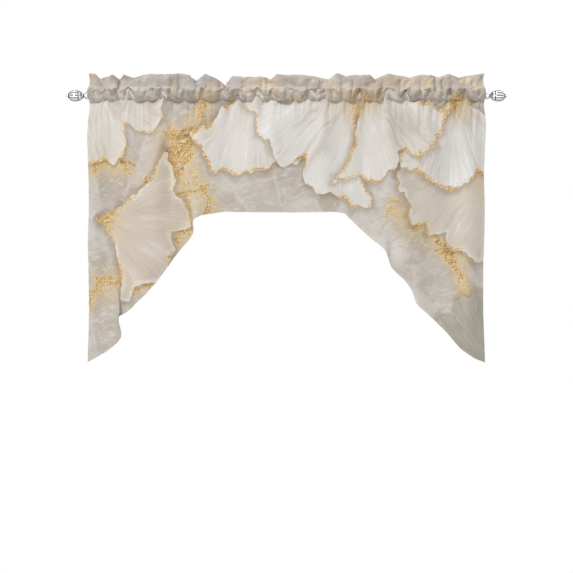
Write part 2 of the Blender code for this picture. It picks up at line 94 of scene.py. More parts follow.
RIDGE_PUFF = 0.021  # and how much further between two gathers
RIDGE_OUT = 0.012  # how far a sharper ridge is drawn out of the settled pocket
RIDGE_DOWN = 0.42  # where it runs, from 0 at the upper seam to 1 at the lower
RIDGE_ZIGZAG = 0.24  # how much lower it runs at a pleat
CREASE_DEEPER = 1.3  # the creases' depth, as laid, over the table's
PUCKER = 0.0014  # the fine puckers along the stitches: how deep, and how far apart
PUCKER_PITCH = 0.008
BODY_PLANE = -0.001  # the body hangs here, just in front of the pole's axis
FRILL_FORWARD = 0.0040  # how far the frill's edge stands forward
FRILL_LEAN = 0.004  # how far the frill's edge leans forward
FRILL_TILT = 0.8  # how far the frill's edge leans back, for each unit that it dips
FRILL_MEAN = 0.064  # the height at which the frill's edge has no such tilt
FRILL_LAYERS = 0.0010  # how far the frill's layers part between seam and edge
EDGE_ROUND = 0.0006  # how far the cloth turns over above the frill's edge
SIDE_REACH = 0.12  # how far in from a side its strays are felt
PLY_GAP = 0.00045  # from the middle of a doubled part to each of its two layers
UNDER_GAP = 0.0012  # and to the edge that is turned under

# ---- how the heading is settled and then shaped ----
TONGUES_LIFTED = 0.011  # how far the settled lower seam is drawn up further at its pleats
TONGUES_FADE = 0.045  # and over what drop below the seam that fades
TONGUES_SPREAD = 0.9  # the width of what is drawn up over its pleat's
SEAM_SOFTENED = 9  # how often the cloth's front is smoothed where it runs over the upper seam
SOFT_ROWS = 5  # and how many rows to each side of the seam
SETTLED_BODY_ROWS = 26  # the rows below the pocket over which the settling fades in
HELD_LOOSELY = 0.01  # how firmly the cloth between the seams is held where it was laid
HELD_AT_TOP = 0.35  # and how firmly the frill's edge is
HEADING_FULLER = 0.09  # how much wider than its place the heading starts
GATHERING_FRAMES = 11  # by this frame its seams are pushed together to their places
SETTLING_FRAMES = 17
POLE_SKIN = 0.001  # how far the settling cloth keeps off the pole
FABRIC = {
    "quality": 7,
    "mass": 0.12,
    "tension_stiffness": 25.0,
    "compression_stiffness": 25.0,
    "shear_stiffness": 12.0,
    "bending_stiffness": 0.02,
    "tension_damping": 8.0,
    "compression_damping": 8.0,
    "shear_damping": 8.0,
    "bending_damping": 0.4,
    "air_damping": 2.0,
    "vertex_group_mass": "held",
    "pin_stiffness": 1.0,
}
FABRIC_WEIGHT = 0.3  # the share of its weight that the heading feels while it settles
TOUCH = {
    "use_collision": True,
    "distance_min": 0.001,
    "use_self_collision": True,
    "self_distance_min": 0.001,
    "collision_quality": 2,
}

COLUMNS = 322
BODY_ROWS = 76
POCKET_FRONT_ROWS = 26
POCKET_BACK_ROWS = 14
FRILL_FRONT_ROWS = 14
FRILL_BACK_ROWS = 9
UNDER_ROWS = (0.3, 0.65, 1.0)
SHARP_ANGLE = math.radians(75)


def table(lengths, numbers, *rows):
    """Rows with named columns: first lengths, given in millimetres, then plain numbers."""
    row_kind = namedtuple("row_kind", lengths + " " + numbers)
    count = len(lengths.split())
    return [row_kind(*(value / 1000 for value in row[:count]), *row[count:]) for row in rows]


# ---- the frill's top edge, the gathers of the two seams, and the creases between them ----
FRILL_EDGE = table(
    "x rise", "",
    (-625, 69), (-605, 69), (-592, 54), (-550, 67), (-528, 53), (-513, 67), (-488, 59), (-432, 69),
    (-337, 70), (-309, 66), (-286, 50), (-257, 69), (-221, 55), (-193, 34), (-172, 62), (-82, 62),
    (-51, 54), (-31, 67), (51, 66), (94, 61), (133, 54), (158, 70), (186, 63), (214, 66), (263, 66),
    (277, 54), (321, 69), (386, 60), (428, 66), (456, 66), (479, 59), (511, 69), (544, 59), (625, 70),
)
PINCHES = table(
    "x depth width", "",
    (-580, 9, 10), (-531, 12, 9), (-460, 6, 12), (-363, 5, 8), (-340, 10, 8), (-285, 8, 10),
    (-255, 6, 8), (-212, 6, 8), (-194, 12, 9), (-138, 6, 9), (-79, 8, 8), (-62, 6, 7), (-38, 3, 8),
    (29, 4, 10), (66, 3, 9), (106, 12, 9), (145, 3, 8), (175, 6, 9), (208, 8, 9), (258, 3, 10),
    (303, 10, 9), (357, 6, 8), (376, 4, 7), (423, 6, 9), (470, 7, 8), (493, 11, 8), (521, 4, 8),
    (562, 3, 12),
)
PLEATS = table(
    "x depth width", "",
    (-570, 14, 12), (-531, 10, 7), (-500, 16, 14), (-445, 4, 12), (-395, 15, 15), (-369, 8, 6),
    (-325, 7, 10), (-268, 16, 9), (-206, 13, 14), (-155, 11, 17), (-94, 16, 14), (-49, 11, 15),
    (20, 5, 12), (72, 13, 20), (117, 16, 10), (175, 8, 11), (230, 14, 14), (274, 4, 10),
    (319, 16, 14), (377, 11, 14), (415, 5, 9), (452, 14, 20), (513, 12, 13), (564, 12, 16),
    (606, 4, 10),
)
CREASES = table(
    "x_start x_end depth width", "start end",
    (-577, -547, 6, 6, 0.1, 0.95), (-527, -544, 5, 5.5, 0.2, 0.95), (-516, -482, 7, 6, 0.25, 1),
    (-449, -426, 6, 7, 0.08, 0.6), (-398, -424, 6, 7, 0.08, 0.6), (-337, -316, 8, 6, 0.15, 1),
    (-282, -275, 6, 4.5, 0.05, 0.7), (-252, -262, 6, 4.5, 0.05, 0.7), (-207, -192, 7, 5.5, 0.02, 0.7),
    (-172, -186, 6, 5, 0.05, 0.65), (-136, -118, 7, 6.5, 0.05, 0.7), (-54, -17, 7, 6, 0.15, 0.95),
    (-6, 18, 5, 8, 0.25, 0.6), (40, 52, 5, 7, 0.1, 0.55), (104, 90, 6, 7, 0.1, 0.8),
    (125, 150, 6, 7, 0.15, 0.75), (174, 188, 8, 6, 0.2, 1), (224, 272, 6, 6.5, 0.15, 0.95),
    (306, 284, 6, 5.5, 0.15, 0.95), (358, 374, 6, 6, 0.1, 0.85), (396, 388, 5, 6, 0.1, 0.6),
    (430, 424, 6, 6, 0.05, 0.85), (472, 468, 6, 5.5, 0.05, 0.7), (492, 497, 8, 6, 0.05, 0.95),
    (523, 531, 5, 7, 0.1, 0.6), (566, 603, 5, 8, 0.15, 0.95),
)

# ---- the folds below the pocket: where each starts, is full and has gone, and its slant ----
FOLDS = table(
    "x depth width drop end", "lean",
    (-600, 6, 26, 300, 1200, 0), (-560, -6, 30, 250, 800, 0.02), (-505, 7, 24, 120, 500, -0.03),
    (-455, -6, 32, 250, 950, 0), (-401, 7, 24, 160, 600, -0.02), (-366, -9, 20, 160, 420, 0),
    (-262, 8, 42, 220, 600, -0.08), (-183, -9, 28, 100, 500, 0.02), (-125, 5, 30, 160, 550, 0.03),
    (-50, 7, 40, 120, 600, 0), (45, -6, 34, 140, 500, 0.08), (108, 8, 22, 120, 420, 0.03),
    (165, -5, 26, 140, 400, 0.02), (235, -8, 40, 200, 500, 0.05), (322, 9, 28, 160, 550, 0.04),
    (385, -6, 26, 180, 600, 0.02), (453, 7, 26, 160, 750, 0.02), (525, -6, 30, 200, 800, 0.01),
    (598, 6, 28, 250, 1100, -0.02), (-405, -20, 52, 500, 800, 0.13), (-470, 10, 40, 620, 1000, 0.03),
    (-585, -8, 30, 740, 1200, 0.02), (395, 12, 40, 500, 900, -0.05), (470, -12, 40, 580, 1000, -0.02),
    (560, 10, 36, 700, 1200, 0.02),
)

# ---- folds so deep that the cloth doubles back on itself, near the hem ----
ROLLS = table(
    "x drop reach width gathered step", "",
    (-303, 410, 120, 17, 15.5, -18), (-530, 710, 120, 15, 33, 17), (322, 520, 160, 20, 11, 12),
    (402, 640, 160, 20, 11, -12),
)

# ---- where the hem's edge curls a little to one side ----
SWAYS = table(
    "x drop aside width height", "",
    (-300, 425, 8, 30, 28), (-530, 708, -9.5, 40, 26),
)

# ---- where the sheet's columns stand closer together ----
CROWDED = table("x width", "more", (-530, 35, 0.9), (-303, 30, 0.6))

# ---- the hem, and how far the two side edges stray outwards ----
HEM = table(
    "x drop", "",
    (-630, 846), (-600, 829), (-572, 811), (-558, 794), (-545, 766), (-515, 706), (-478, 657),
    (-448, 630), (-408, 584), (-371, 532), (-338, 482), (-316, 446), (-290, 394), (-266, 377),
    (-200, 367), (-100, 368), (30, 369), (150, 367), (182, 371), (232, 420), (300, 482), (336, 540),
    (372, 585), (414, 655), (450, 693), (506, 749), (548, 800), (590, 830), (630, 846),
)
SIDES = table(
    "rise left right", "",
    (-846, 6, 3), (-690, 1, -3), (-530, 3, -3), (-460, 5, 0), (-360, 1.5, 2), (-250, 3, -1),
    (-130, 7.5, 4.5), (-85, 5, 6), (-30, -2, -1), (9, 5, 2.5), (41, -3, -4), (70, 1, -1),
)


# ---- curves that the cloth follows ----
def bell(t):
    """1 at the middle, falling smoothly to 0 on both sides."""
    return np.exp(-t * t)


def crisp(t):
    """1 at the middle, falling to 0 on both sides from a crease."""
    return np.exp(0.40 - np.sqrt(2.6 * t * t + 0.16))


def ease(t):
    """0 to 1 as t goes from 0 to 1, level at both ends."""
    t = np.clip(t, 0.0, 1.0)
    return t * t * (3 - 2 * t)


def along(x, rows, column, soften):
    """A table's column read at x, with its corners rounded over `soften`."""
    xs = [row.x for row in rows]
    values = [getattr(row, column) for row in rows]
    taps = ((-soften, 0.25), (0.0, 0.5), (soften, 0.25))
    return sum(share * np.interp(x + shift, xs, values) for shift, share in taps)


def hem_drop(x):
    """How far the hem hangs below the pole's axis."""
    return along(x, HEM, "drop", HEM_ROUNDED)


def unevenness(x, size):
    """A slow wandering, up to about `size` either way, along the cloth."""
    return size * (0.6 * np.sin(47 * x + 0.6) + 0.4 * np.sin(83 * x + 2.1))


def gathers(x, rows, spread):
    """How deep the gathers of a seam are at x, `spread` times as wide as at the seam."""
    return sum(row.depth * crisp((x - row.x) / (row.width * spread)) for row in rows)


def crumple(x, z, size, pitch, seed):
    """Small uneven creases, as numbers between about -size and size."""
    flat = [
        noise.noise(Vector((a / pitch, b / pitch * 0.6, seed)))
        + 0.5 * noise.noise(Vector((a / pitch * 2.3, b / pitch * 1.4, seed + 7)))
        for a, b in zip(x.ravel(), z.ravel())
    ]
    return size * np.array(flat).reshape(x.shape)


def puckers(x, seed):
    """Fine upright puckers along a row of stitches."""
    return crumple(x, np.zeros_like(x), PUCKER, PUCKER_PITCH, seed)


def clear_of_pole(y, z):
    """The point, eased straight out from the pole's axis where it would touch the pole."""
    nearest = POLE_RADIUS + POLE_CLEARANCE
    distance = np.maximum(np.hypot(y, z), 1e-6)
    beyond = np.logaddexp(0.0, (distance - nearest) / POLE_SOFTLY) * POLE_SOFTLY
    return y * (nearest + beyond) / distance, z * (nearest + beyond) / distance


def strayed(x, z):
    """x, moved sideways where the point is near one of the uneven side edges."""
    rises = [row.rise for row in SIDES]
    left, right = ([getattr(row, side) for row in SIDES] for side in ("left", "right"))
    near = ease((np.abs(x) - HUNG_WIDTH / 2) / SIDE_REACH + 1)
    outwards = np.where(x < 0, -np.interp(z, rises, left), np.interp(z, rises, right))
    return x + near * outwards


def upper_seam(x):
    """(y, z) of the upper seam, which sits down on the pole where it is pinched hardest."""
    share = np.minimum(gathers(x, PINCHES, 1.0) / HARDEST_PINCH, 1.0)
    rise = UPPER_SEAM + unevenness(x, 0.0012) * (1 - share)
    back = HARDEST_PINCH * share + puckers(x, seed=5.0)
    return back - SEAM_FORWARD, rise - SEAM_DIP * share**2


def lower_seam(x):
    """(y, z) of the lower seam, drawn up and forwards where it is pleated."""
    push = gathers(x, PLEATS, 1.0)
    tongue = ease(gathers(x, PLEATS, TONGUE_BROADER) / TONGUE_FULL)
    rise = LOWER_SEAM + unevenness(-x, 0.0022) + TONGUE * tongue
    return BODY_PLANE - push + puckers(x, seed=9.0), rise


def frill(x, up):
    """A point of the frill, from the upper seam (up 0) to its top edge (up 1)."""
    seam_y, seam_z = upper_seam(x)
    edge = along(x, FRILL_EDGE, "rise", 0.0025)
    tilt = np.clip(FRILL_TILT * (FRILL_MEAN - edge), -0.004, 0.014) - FRILL_LEAN
    forward = FRILL_FORWARD + (SEAM_FORWARD - FRILL_FORWARD) * (1 - up) ** 2
    creases = 1.3 * gathers(x, PINCHES, 1 + 1.3 * up) * (1 - 0.75 * up) - forward
    y = seam_y * (1 - ease(5 * up)) + creases * ease(5 * up) + tilt * up**1.2
    y = y + crumple(x, up * FRILL_DEEP, size=0.0024, pitch=0.017, seed=3.0) * ease(3 * up)
    return x, y, seam_z + (edge - seam_z) * up


def bezier(points, t):
    """A point of the cubic curve through four control points."""
    shares = ((1 - t) ** 3, 3 * t * (1 - t) ** 2, 3 * t**2 * (1 - t), t**3)
    return sum(share * point for share, point in zip(shares, points))


def pocket(x, down, side):
    """A point of the pocket from the upper seam (down 0) to the lower; side is -1 in front."""
    pleated = np.minimum(gathers(x, PLEATS, 0.35 + 0.65 * down) / DEEP_PLEAT, 1.0)
    pinch = np.minimum(gathers(x, PINCHES, 1.5 - 0.9 * down) / DEEP_PINCH, 1.0)
    low = ease(down)
    puffed = (1 - low) * (1 - pinch) + low * (1 - pleated)
    puffed = (1 + unevenness(x + 1.0, 0.22)) * puffed
    if side < 0:
        y, z = pocket_front(x, down, pleated, pinch, puffed)
    else:
        y, z = pocket_back(x, down, puffed)
    swell = np.sin(np.pi * down)
    y = y + crumple(x, down * POCKET_DEEP, 0.0020, 0.013, 11.0 * side) * swell
    return x, *clear_of_pole(y, z)


def pocket_front(x, down, pleated, pinch, puffed):
    """It stands up over the upper seam, comes forward to a ridge and falls back under it."""
    upper_y, upper_z = upper_seam(x)
    lower_y, lower_z = lower_seam(x)
    ridge_y = RIDGE_PINCHED - RIDGE_PUFF * puffed
    ridge_z = RIDGE_RISE + unevenness(1.3 * x + 0.4, 0.006) + 0.010 * pleated
    over = np.where(pinch < 1, SWELL * (1 - pinch), 0.0)
    y = bezier((upper_y, upper_y - 0.004 - 0.004 * (1 - pinch), ridge_y, lower_y), down)
    z = bezier((upper_z, upper_z + over, ridge_z, lower_z), down)
    for row in CREASES:
        share = np.clip((down - row.start) / (row.end - row.start), 0.0, 1.0)
        off = (x - row.x_start - (row.x_end - row.x_start) * share) / row.width
        y = y + CREASE_DEEPER * row.depth * np.sin(np.pi * share) ** 0.7 * crisp(off)
    return y, z


def pocket_back(x, down, puffed):
    """It turns around behind the pole, from the upper seam to the lower."""
    ends = (upper_seam(x), lower_seam(x))
    from_turn, to_turn = (np.arctan2(z, y) for y, z in ends)
    from_reach, to_reach = (np.hypot(y, z) for y, z in ends)
    to_turn = np.where(to_turn > 0, to_turn - math.tau, to_turn)
    turn = from_turn + (to_turn - from_turn) * down
    reach = from_reach + (to_reach - from_reach) * down
    behind = BACK_REACH + BACK_PUFF * puffed - (from_reach + to_reach) / 2
    reach = reach + behind * np.sin(np.pi * down)
    return reach * np.cos(turn), reach * np.sin(turn)


def draw_ridge(x, down):
    """How far the pocket's front comes forward to its ridge, which zigzags with the pleats."""
    pleated = np.minimum(gathers(x, PLEATS, 0.9) / DEEP_PLEAT, 1.0)
    middle = RIDGE_DOWN + RIDGE_ZIGZAG * pleated + unevenness(2.3 * x, 0.07)
    beside = np.maximum(1 - down / middle, 1 - (1 - down) / (1 - middle))
    crest = np.maximum(1 - np.sqrt(beside**2 + 0.006), 0.0)
    return RIDGE_OUT * crest * (1 - 0.45 * pleated) * (1 + unevenness(x + 0.7, 0.3))


def draw_creases(x, down):
    """How far the creases sink into the pocket's front, each with a lip along one side."""
    total = np.zeros_like(x)
    for row in CREASES:
        share = np.clip((down - row.start + 0.12) / (row.end - row.start + 0.12), 0.0, 1.0)
        off = (x - row.x_start - (row.x_end - row.x_start) * share) / row.width
        lip = 0.9 * crisp(off - 1.7 * np.sign(row.x_end - row.x_start))
        total = total + row.depth * np.sin(np.pi * share) ** 0.5 * (crisp(off) - lip)
    return total


def body(x, down):
    """A point of the hanging cloth, from the lower seam (down 0) to the hem (down 1)."""
    _, seam_z = lower_seam(x)
    drop = -seam_z + (hem_drop(x) + seam_z) * down
    hung = drop + seam_z
    y = BODY_PLANE - gathers(x, PLEATS, 1 + hung / 0.08) * np.exp(-hung / 0.055)
    y = y + puckers(x, seed=9.0) * np.exp(-hung / 0.018)
    for row in FOLDS:
        width = row.width * (0.7 + 0.3 * np.minimum(drop / row.drop, 1.6))
        middle = row.x + row.lean * drop
        full = ease(hung / row.drop) * (1 - ease((drop - row.drop) / (row.end - row.drop)))
        y = y - row.depth * full * bell((x - middle) / width)
    aside = np.zeros_like(y)
    for row in ROLLS:
        t = (x - row.x) / row.width
        full = ease((drop - row.drop + row.reach) / row.reach)
        aside = aside - row.gathered * full * t * bell(t / math.sqrt(2))
        y = y + row.step * full * t * bell(t / 2)
    for row in SWAYS:
        near = bell((x - row.x) / row.width) * bell((drop - row.drop) / row.height)
        aside = aside + row.aside * near
    crumpled = np.exp(-hung / 0.045) * ease(hung / 0.008)
    y = y + crumple(x, drop, size=0.0024, pitch=0.020, seed=23.0) * crumpled
    y = y + crumple(x, drop, size=0.0014, pitch=0.075, seed=31.0) * ease(hung / 0.05)
    return x + aside, y, -drop


# ---- the sheet ----
def column_places(count):
    """The columns' x, closer together where the cloth doubles back on itself."""
    x = np.linspace(-HUNG_WIDTH / 2, HUNG_WIDTH / 2, 4001)
    crowd = 1 + sum(row.more * bell((x - row.x) / row.width) for row in CROWDED)
    total = np.concatenate(([0.0], np.cumsum((crowd[1:] + crowd[:-1]) / 2)))
    return np.interp(np.linspace(0, total[-1], count), total, x)


def sheet_rows():
    """The rows of the sheet in order, from the hem up the front and down the back again.

    Each is (part of the cloth, how far along that part, sideways step of its layer, height
    on the flat cloth), where the height is measured up from the pole's axis.
    """
    rows = [("body", t**1.2, 0.0, None) for t in np.linspace(1, 0, BODY_ROWS)[:-1]]
    top = LOWER_SEAM + POCKET_DEEP
    for down in np.linspace(1, 0, POCKET_FRONT_ROWS):
        ply = -PLY_GAP * abs(2 * down - 1) ** 6
        rows.append(("pocket_front", down, ply, top - POCKET_DEEP * down))
    for up in np.linspace(0, 1, FRILL_FRONT_ROWS)[1:]:
        ply = -PLY_GAP - FRILL_LAYERS * math.sin(math.pi * up)
        rows.append(("frill", up, ply, top + FRILL_DEEP * up))
    top += FRILL_DEEP + EDGE_ROUND
    rows.append(("frill", 1 + EDGE_ROUND / FRILL_DEEP, 0.0, top))
    top += FRILL_DEEP + EDGE_ROUND
    for up in np.linspace(1, 0, FRILL_BACK_ROWS):
        ply = PLY_GAP + FRILL_LAYERS * math.sin(math.pi * up)
        rows.append(("frill", up, ply, top - FRILL_DEEP * up))
    for down in np.linspace(0, 1, POCKET_BACK_ROWS)[1:]:
        ply = PLY_GAP * abs(2 * down - 1) ** 6
        rows.append(("pocket_back", down, ply, top + POCKET_DEEP * down))
    top += POCKET_DEEP
    for under in UNDER_ROWS:
        rows.append(("under", under, UNDER_GAP, top + TURNED_UNDER * under))
    return rows


def sheet_part(kind, x, amount):
    """A row of the sheet, as x, y and z."""
    if kind == "under":
        return body(x, amount * TURNED_UNDER / (hem_drop(x) + LOWER_SEAM))
    amount = np.full_like(x, amount)
    if kind.startswith("pocket"):
        return pocket(x, amount, -1 if kind == "pocket_front" else 1)
    return frill(x, amount) if kind == "frill" else body(x, amount)


def hem_distances(x, drop):
    """How far a point is from the nearest finished edge, and how far along that edge."""
    hem = hem_drop(x)
    steep = np.sqrt(1 + np.gradient(hem, x) ** 2)
    length = np.concatenate(([0.0], np.cumsum((steep[1:] + steep[:-1]) / 2 * np.diff(x))))
    gaps = np.stack(((hem - drop) / steep, x + HUNG_WIDTH / 2, HUNG_WIDTH / 2 - x))
    runs = np.stack((length, drop, drop))
    nearest = np.argmin(gaps, axis=0)
    take = np.arange(len(x))
    return gaps[nearest, take], runs[nearest, take]


def grid_faces(rows, columns):
    """The faces of a grid of vertices, row by row."""
    return [
        (r * columns + c, r * columns + c + 1, (r + 1) * columns + c + 1, (r + 1) * columns + c)
        for r in range(rows - 1)
        for c in range(columns - 1)
    ]


def grid_object(name, points, rows, columns):
    """A new object whose mesh is a grid of the given points."""
    data = bpy.data.meshes.new(name)
    data.from_pydata(points.reshape(-1, 3).tolist(), [], grid_faces(rows, columns))
    made = bpy.data.objects.new(name, data)
    bpy.context.scene.collection.objects.link(made)
    return made


def hold(heading, rows, shape):
    """Gives each point of the heading the weight that holds it in its place."""
    held = np.full(shape, HELD_LOOSELY)
    for index, (kind, amount, _, _) in enumerate(rows):
        on_seam = kind.startswith("pocket") and amount in (0.0, 1.0)
        if on_seam or kind == "under" or (kind == "frill" and amount < 0.01):
            held[index] = 1.0
        elif kind == "frill" and amount > 0.999:
            held[index] = HELD_AT_TOP
    held[:2] = 1.0
    held[:, :2] = held[:, -2:] = 1.0
    group = heading.vertex_groups.new(name="held")
    for value in np.unique(held):
        where = np.flatnonzero(held.ravel() == value)
        group.add([int(i) for i in where], float(value), "REPLACE")


def settle_heading(rows, points):
    """Lets the heading's cloth, a little fuller than its place, crumple between its seams.

    The seams, the top edge and the sides stay where they are. Below the lower seam the
    crumpling fades into the hanging cloth.
    """
    kinds = [row[0] for row in rows]
    first = kinds.index("pocket_front") - SETTLED_BODY_ROWS
    start = np.stack(points[first:])
    heading = grid_object("heading", start * (1 + HEADING_FULLER, 1, 1), *start.shape[:2])
    hold(heading, rows[first:], start.shape[:2])

    # it starts laid out wide, and its held points are pushed together to their places
    heading.shape_key_add(name="wide")
    gathered = heading.shape_key_add(name="gathered")
    gathered.data.foreach_set("co", start.ravel())
    for frame_number, share in ((1, 0.0), (GATHERING_FRAMES, 1.0)):
        gathered.value = share
        gathered.keyframe_insert("value", frame=frame_number)

    deselect_all()
    bpy.ops.mesh.primitive_cylinder_add(
        vertices=64,
        radius=POLE_RADIUS + POLE_SKIN,
        depth=1.4 * HUNG_WIDTH,
        rotation=(0, math.pi / 2, 0),
    )
    pole = bpy.context.object
    bpy.ops.object.transform_apply(location=True, rotation=True, scale=True)
    pole.modifiers.new("pole", "COLLISION")
    pole.collision.thickness_outer = POLE_SKIN
    cloth = heading.modifiers.new("cloth", "CLOTH")
    cloth.settings.effector_weights.gravity = FABRIC_WEIGHT
    for part, values in ((cloth.settings, FABRIC), (cloth.collision_settings, TOUCH)):
        for name, value in values.items():
            setattr(part, name, value)
    scene = bpy.context.scene
    for frame_number in range(1, SETTLING_FRAMES + 1):
        scene.frame_set(frame_number)
    settled = heading.evaluated_get(bpy.context.evaluated_depsgraph_get()).data
    places = np.empty(len(settled.vertices) * 3)
    settled.vertices.foreach_get("co", places)
    scene.frame_set(1)
    for index, row in enumerate(places.reshape(start.shape)):
        share = ease(index / SETTLED_BODY_ROWS)
        points[first + index] = start[index] + (row - start[index]) * share
    for spare in (heading, pole):
        bpy.data.objects.remove(spare)


def lift_tongues(rows, points, x):
    """Draws the lower seam further up at its pleats, with the cloth just above and below it."""
    tongues = ease(gathers(x, PLEATS, TONGUES_SPREAD) / DEEP_PLEAT)
    seam = points[[row[0] for row in rows].index("pocket_front")][:, 2].copy()
    for place, (kind, amount, _, _) in zip(points, rows):
        if kind in ("body", "under"):
            share = ease(1 - (seam - place[:, 2]) / TONGUES_FADE)
        elif kind == "pocket_front":
            share = ease((amount - 0.40) / 0.45)
        elif kind == "pocket_back":
            share = ease((amount - 0.80) / 0.20)
        else:
            continue
        place[:, 2] += TONGUES_LIFTED * tongues * share


def shape_pocket(rows, points, x):
    """Draws out the ridge and the creases of the pocket's front, clear of the pole."""
    for place, (kind, amount, _, _) in zip(points, rows):
        if kind == "pocket_front":
            down = np.full_like(x, amount)
            y = place[:, 1] + draw_creases(x, down) - draw_ridge(x, down)
            place[:, 1], place[:, 2] = clear_of_pole(y, place[:, 2])


def ease_over_seam(rows, points):
    """Lets the front layer run smoothly from the pocket, over the upper seam, into the frill."""
    seam = [row[0] for row in rows].index("frill") - 1
    for _ in range(SEAM_SOFTENED):
        before = list(points)
        for index in range(seam - SOFT_ROWS, seam + SOFT_ROWS + 1):
            share = 0.5 * (1 - abs(index - seam) / (SOFT_ROWS + 1))
            beside = (before[index - 1] + before[index + 1]) / 2
            points[index] = before[index] + (beside - before[index]) * share


def lay_out(rows, x):
    """Each row's points, flat coordinates, and distances to and along the nearest edge."""
    points, flat, edge = [], [], []
    for kind, amount, ply, height in rows:
        px, py, pz = sheet_part(kind, x, amount)
        points.append(np.stack((strayed(px, pz), py + ply, pz), axis=-1))
        if kind == "body":
            height = LOWER_SEAM - (hem_drop(x) + LOWER_SEAM) * amount
            edge.append(np.stack(hem_distances(x, -pz), axis=-1))
        else:
            side = np.minimum(x + HUNG_WIDTH / 2, HUNG_WIDTH / 2 - x)
            edge.append(np.stack((side, np.full_like(x, height)), axis=-1))
        flat.append(np.stack((x * FULLNESS, np.full_like(x, height)), axis=-1))
    return points, np.concatenate(flat), np.concatenate(edge)


def sew_sheet(name, columns, thickness, faces):
    """The cloth as one mesh, with its flat coordinates and edge distances on it.

    `faces` are the materials of its printed face and of its back.
    """
    x = column_places(columns)
    rows = sheet_rows()
    points, flat, edge = lay_out(rows, x)
    settle_heading(rows, points)
    lift_tongues(rows, points, points[0][:, 0])
    shape_pocket(rows, points, x)
    ease_over_seam(rows, points)
    cloth = grid_object(name, np.stack(points), len(rows), columns)
    data = cloth.data
    corners = np.empty(len(data.loops), dtype=np.int32)
    data.loops.foreach_get("vertex_index", corners)
    data.uv_layers.new(name="flat_cloth").data.foreach_set("uv", flat[corners].ravel())
    for label, values in (("edge_gap", edge[:, 0]), ("edge_run", edge[:, 1])):
        layer = data.attributes.new(label, "FLOAT", "POINT")
        layer.data.foreach_set("value", values.astype(np.float32))
    data.shade_smooth()
    data.set_sharp_from_angle(angle=SHARP_ANGLE)
    for face in faces:
        data.materials.append(face)
    solidify = cloth.modifiers.new("thickness", "SOLIDIFY")
    solidify.thickness = thickness
    solidify.offset = 0.0
    solidify.material_offset = 1
    solidify.material_offset_rim = 0
    apply_modifiers(cloth)
    cloth.data.set_sharp_from_angle(angle=SHARP_ANGLE)
    return cloth, flat_area(flat.reshape(len(rows), columns, 2))


def flat_area(grid):
    """The cut cloth's flat area, from the grid of its flat coordinates."""
    a, c = grid[1:, 1:] - grid[:-1, :-1], grid[:-1, 1:] - grid[1:, :-1]
    return float(np.abs(a[..., 0] * c[..., 1] - a[..., 1] * c[..., 0]).sum() / 2)


# ---- small helpers for objects ----
def deselect_all():
    if bpy.context.object and bpy.context.object.mode != "OBJECT":
        bpy.ops.object.mode_set(mode="OBJECT")
    bpy.ops.object.select_all(action="DESELECT")


def apply_modifiers(piece):
    deselect_all()
    bpy.context.view_layer.objects.active = piece
    piece.select_set(True)
    for modifier in list(piece.modifiers):
        bpy.ops.object.modifier_apply(modifier=modifier.name)
    piece.select_set(False)


# ---- node helpers ----
def srgb(red, green, blue):
    """A screen colour, 0 to 255, as the linear colour that nodes take."""
    values = [v / 255 for v in (red, green, blue)]
    return tuple(v / 12.92 if v <= 0.04045 else ((v + 0.055) / 1.055) ** 2.4 for v in values)


class Value:
    """A node's output that takes plain arithmetic, so that a pattern reads as a formula."""

    def __init__(self, nodes, socket):
        self.nodes, self.socket = nodes, socket

    def __add__(self, other):
        return self.nodes.math("ADD", self, other)

    def __mul__(self, other):
        return self.nodes.math("MULTIPLY", self, other)

    def __sub__(self, other):
        return self.nodes.math("SUBTRACT", self, other)

    def __rsub__(self, other):
        return self.nodes.math("SUBTRACT", other, self)

    def __abs__(self):
        return self.nodes.math("ABSOLUTE", self)

    __radd__, __rmul__ = __add__, __mul__


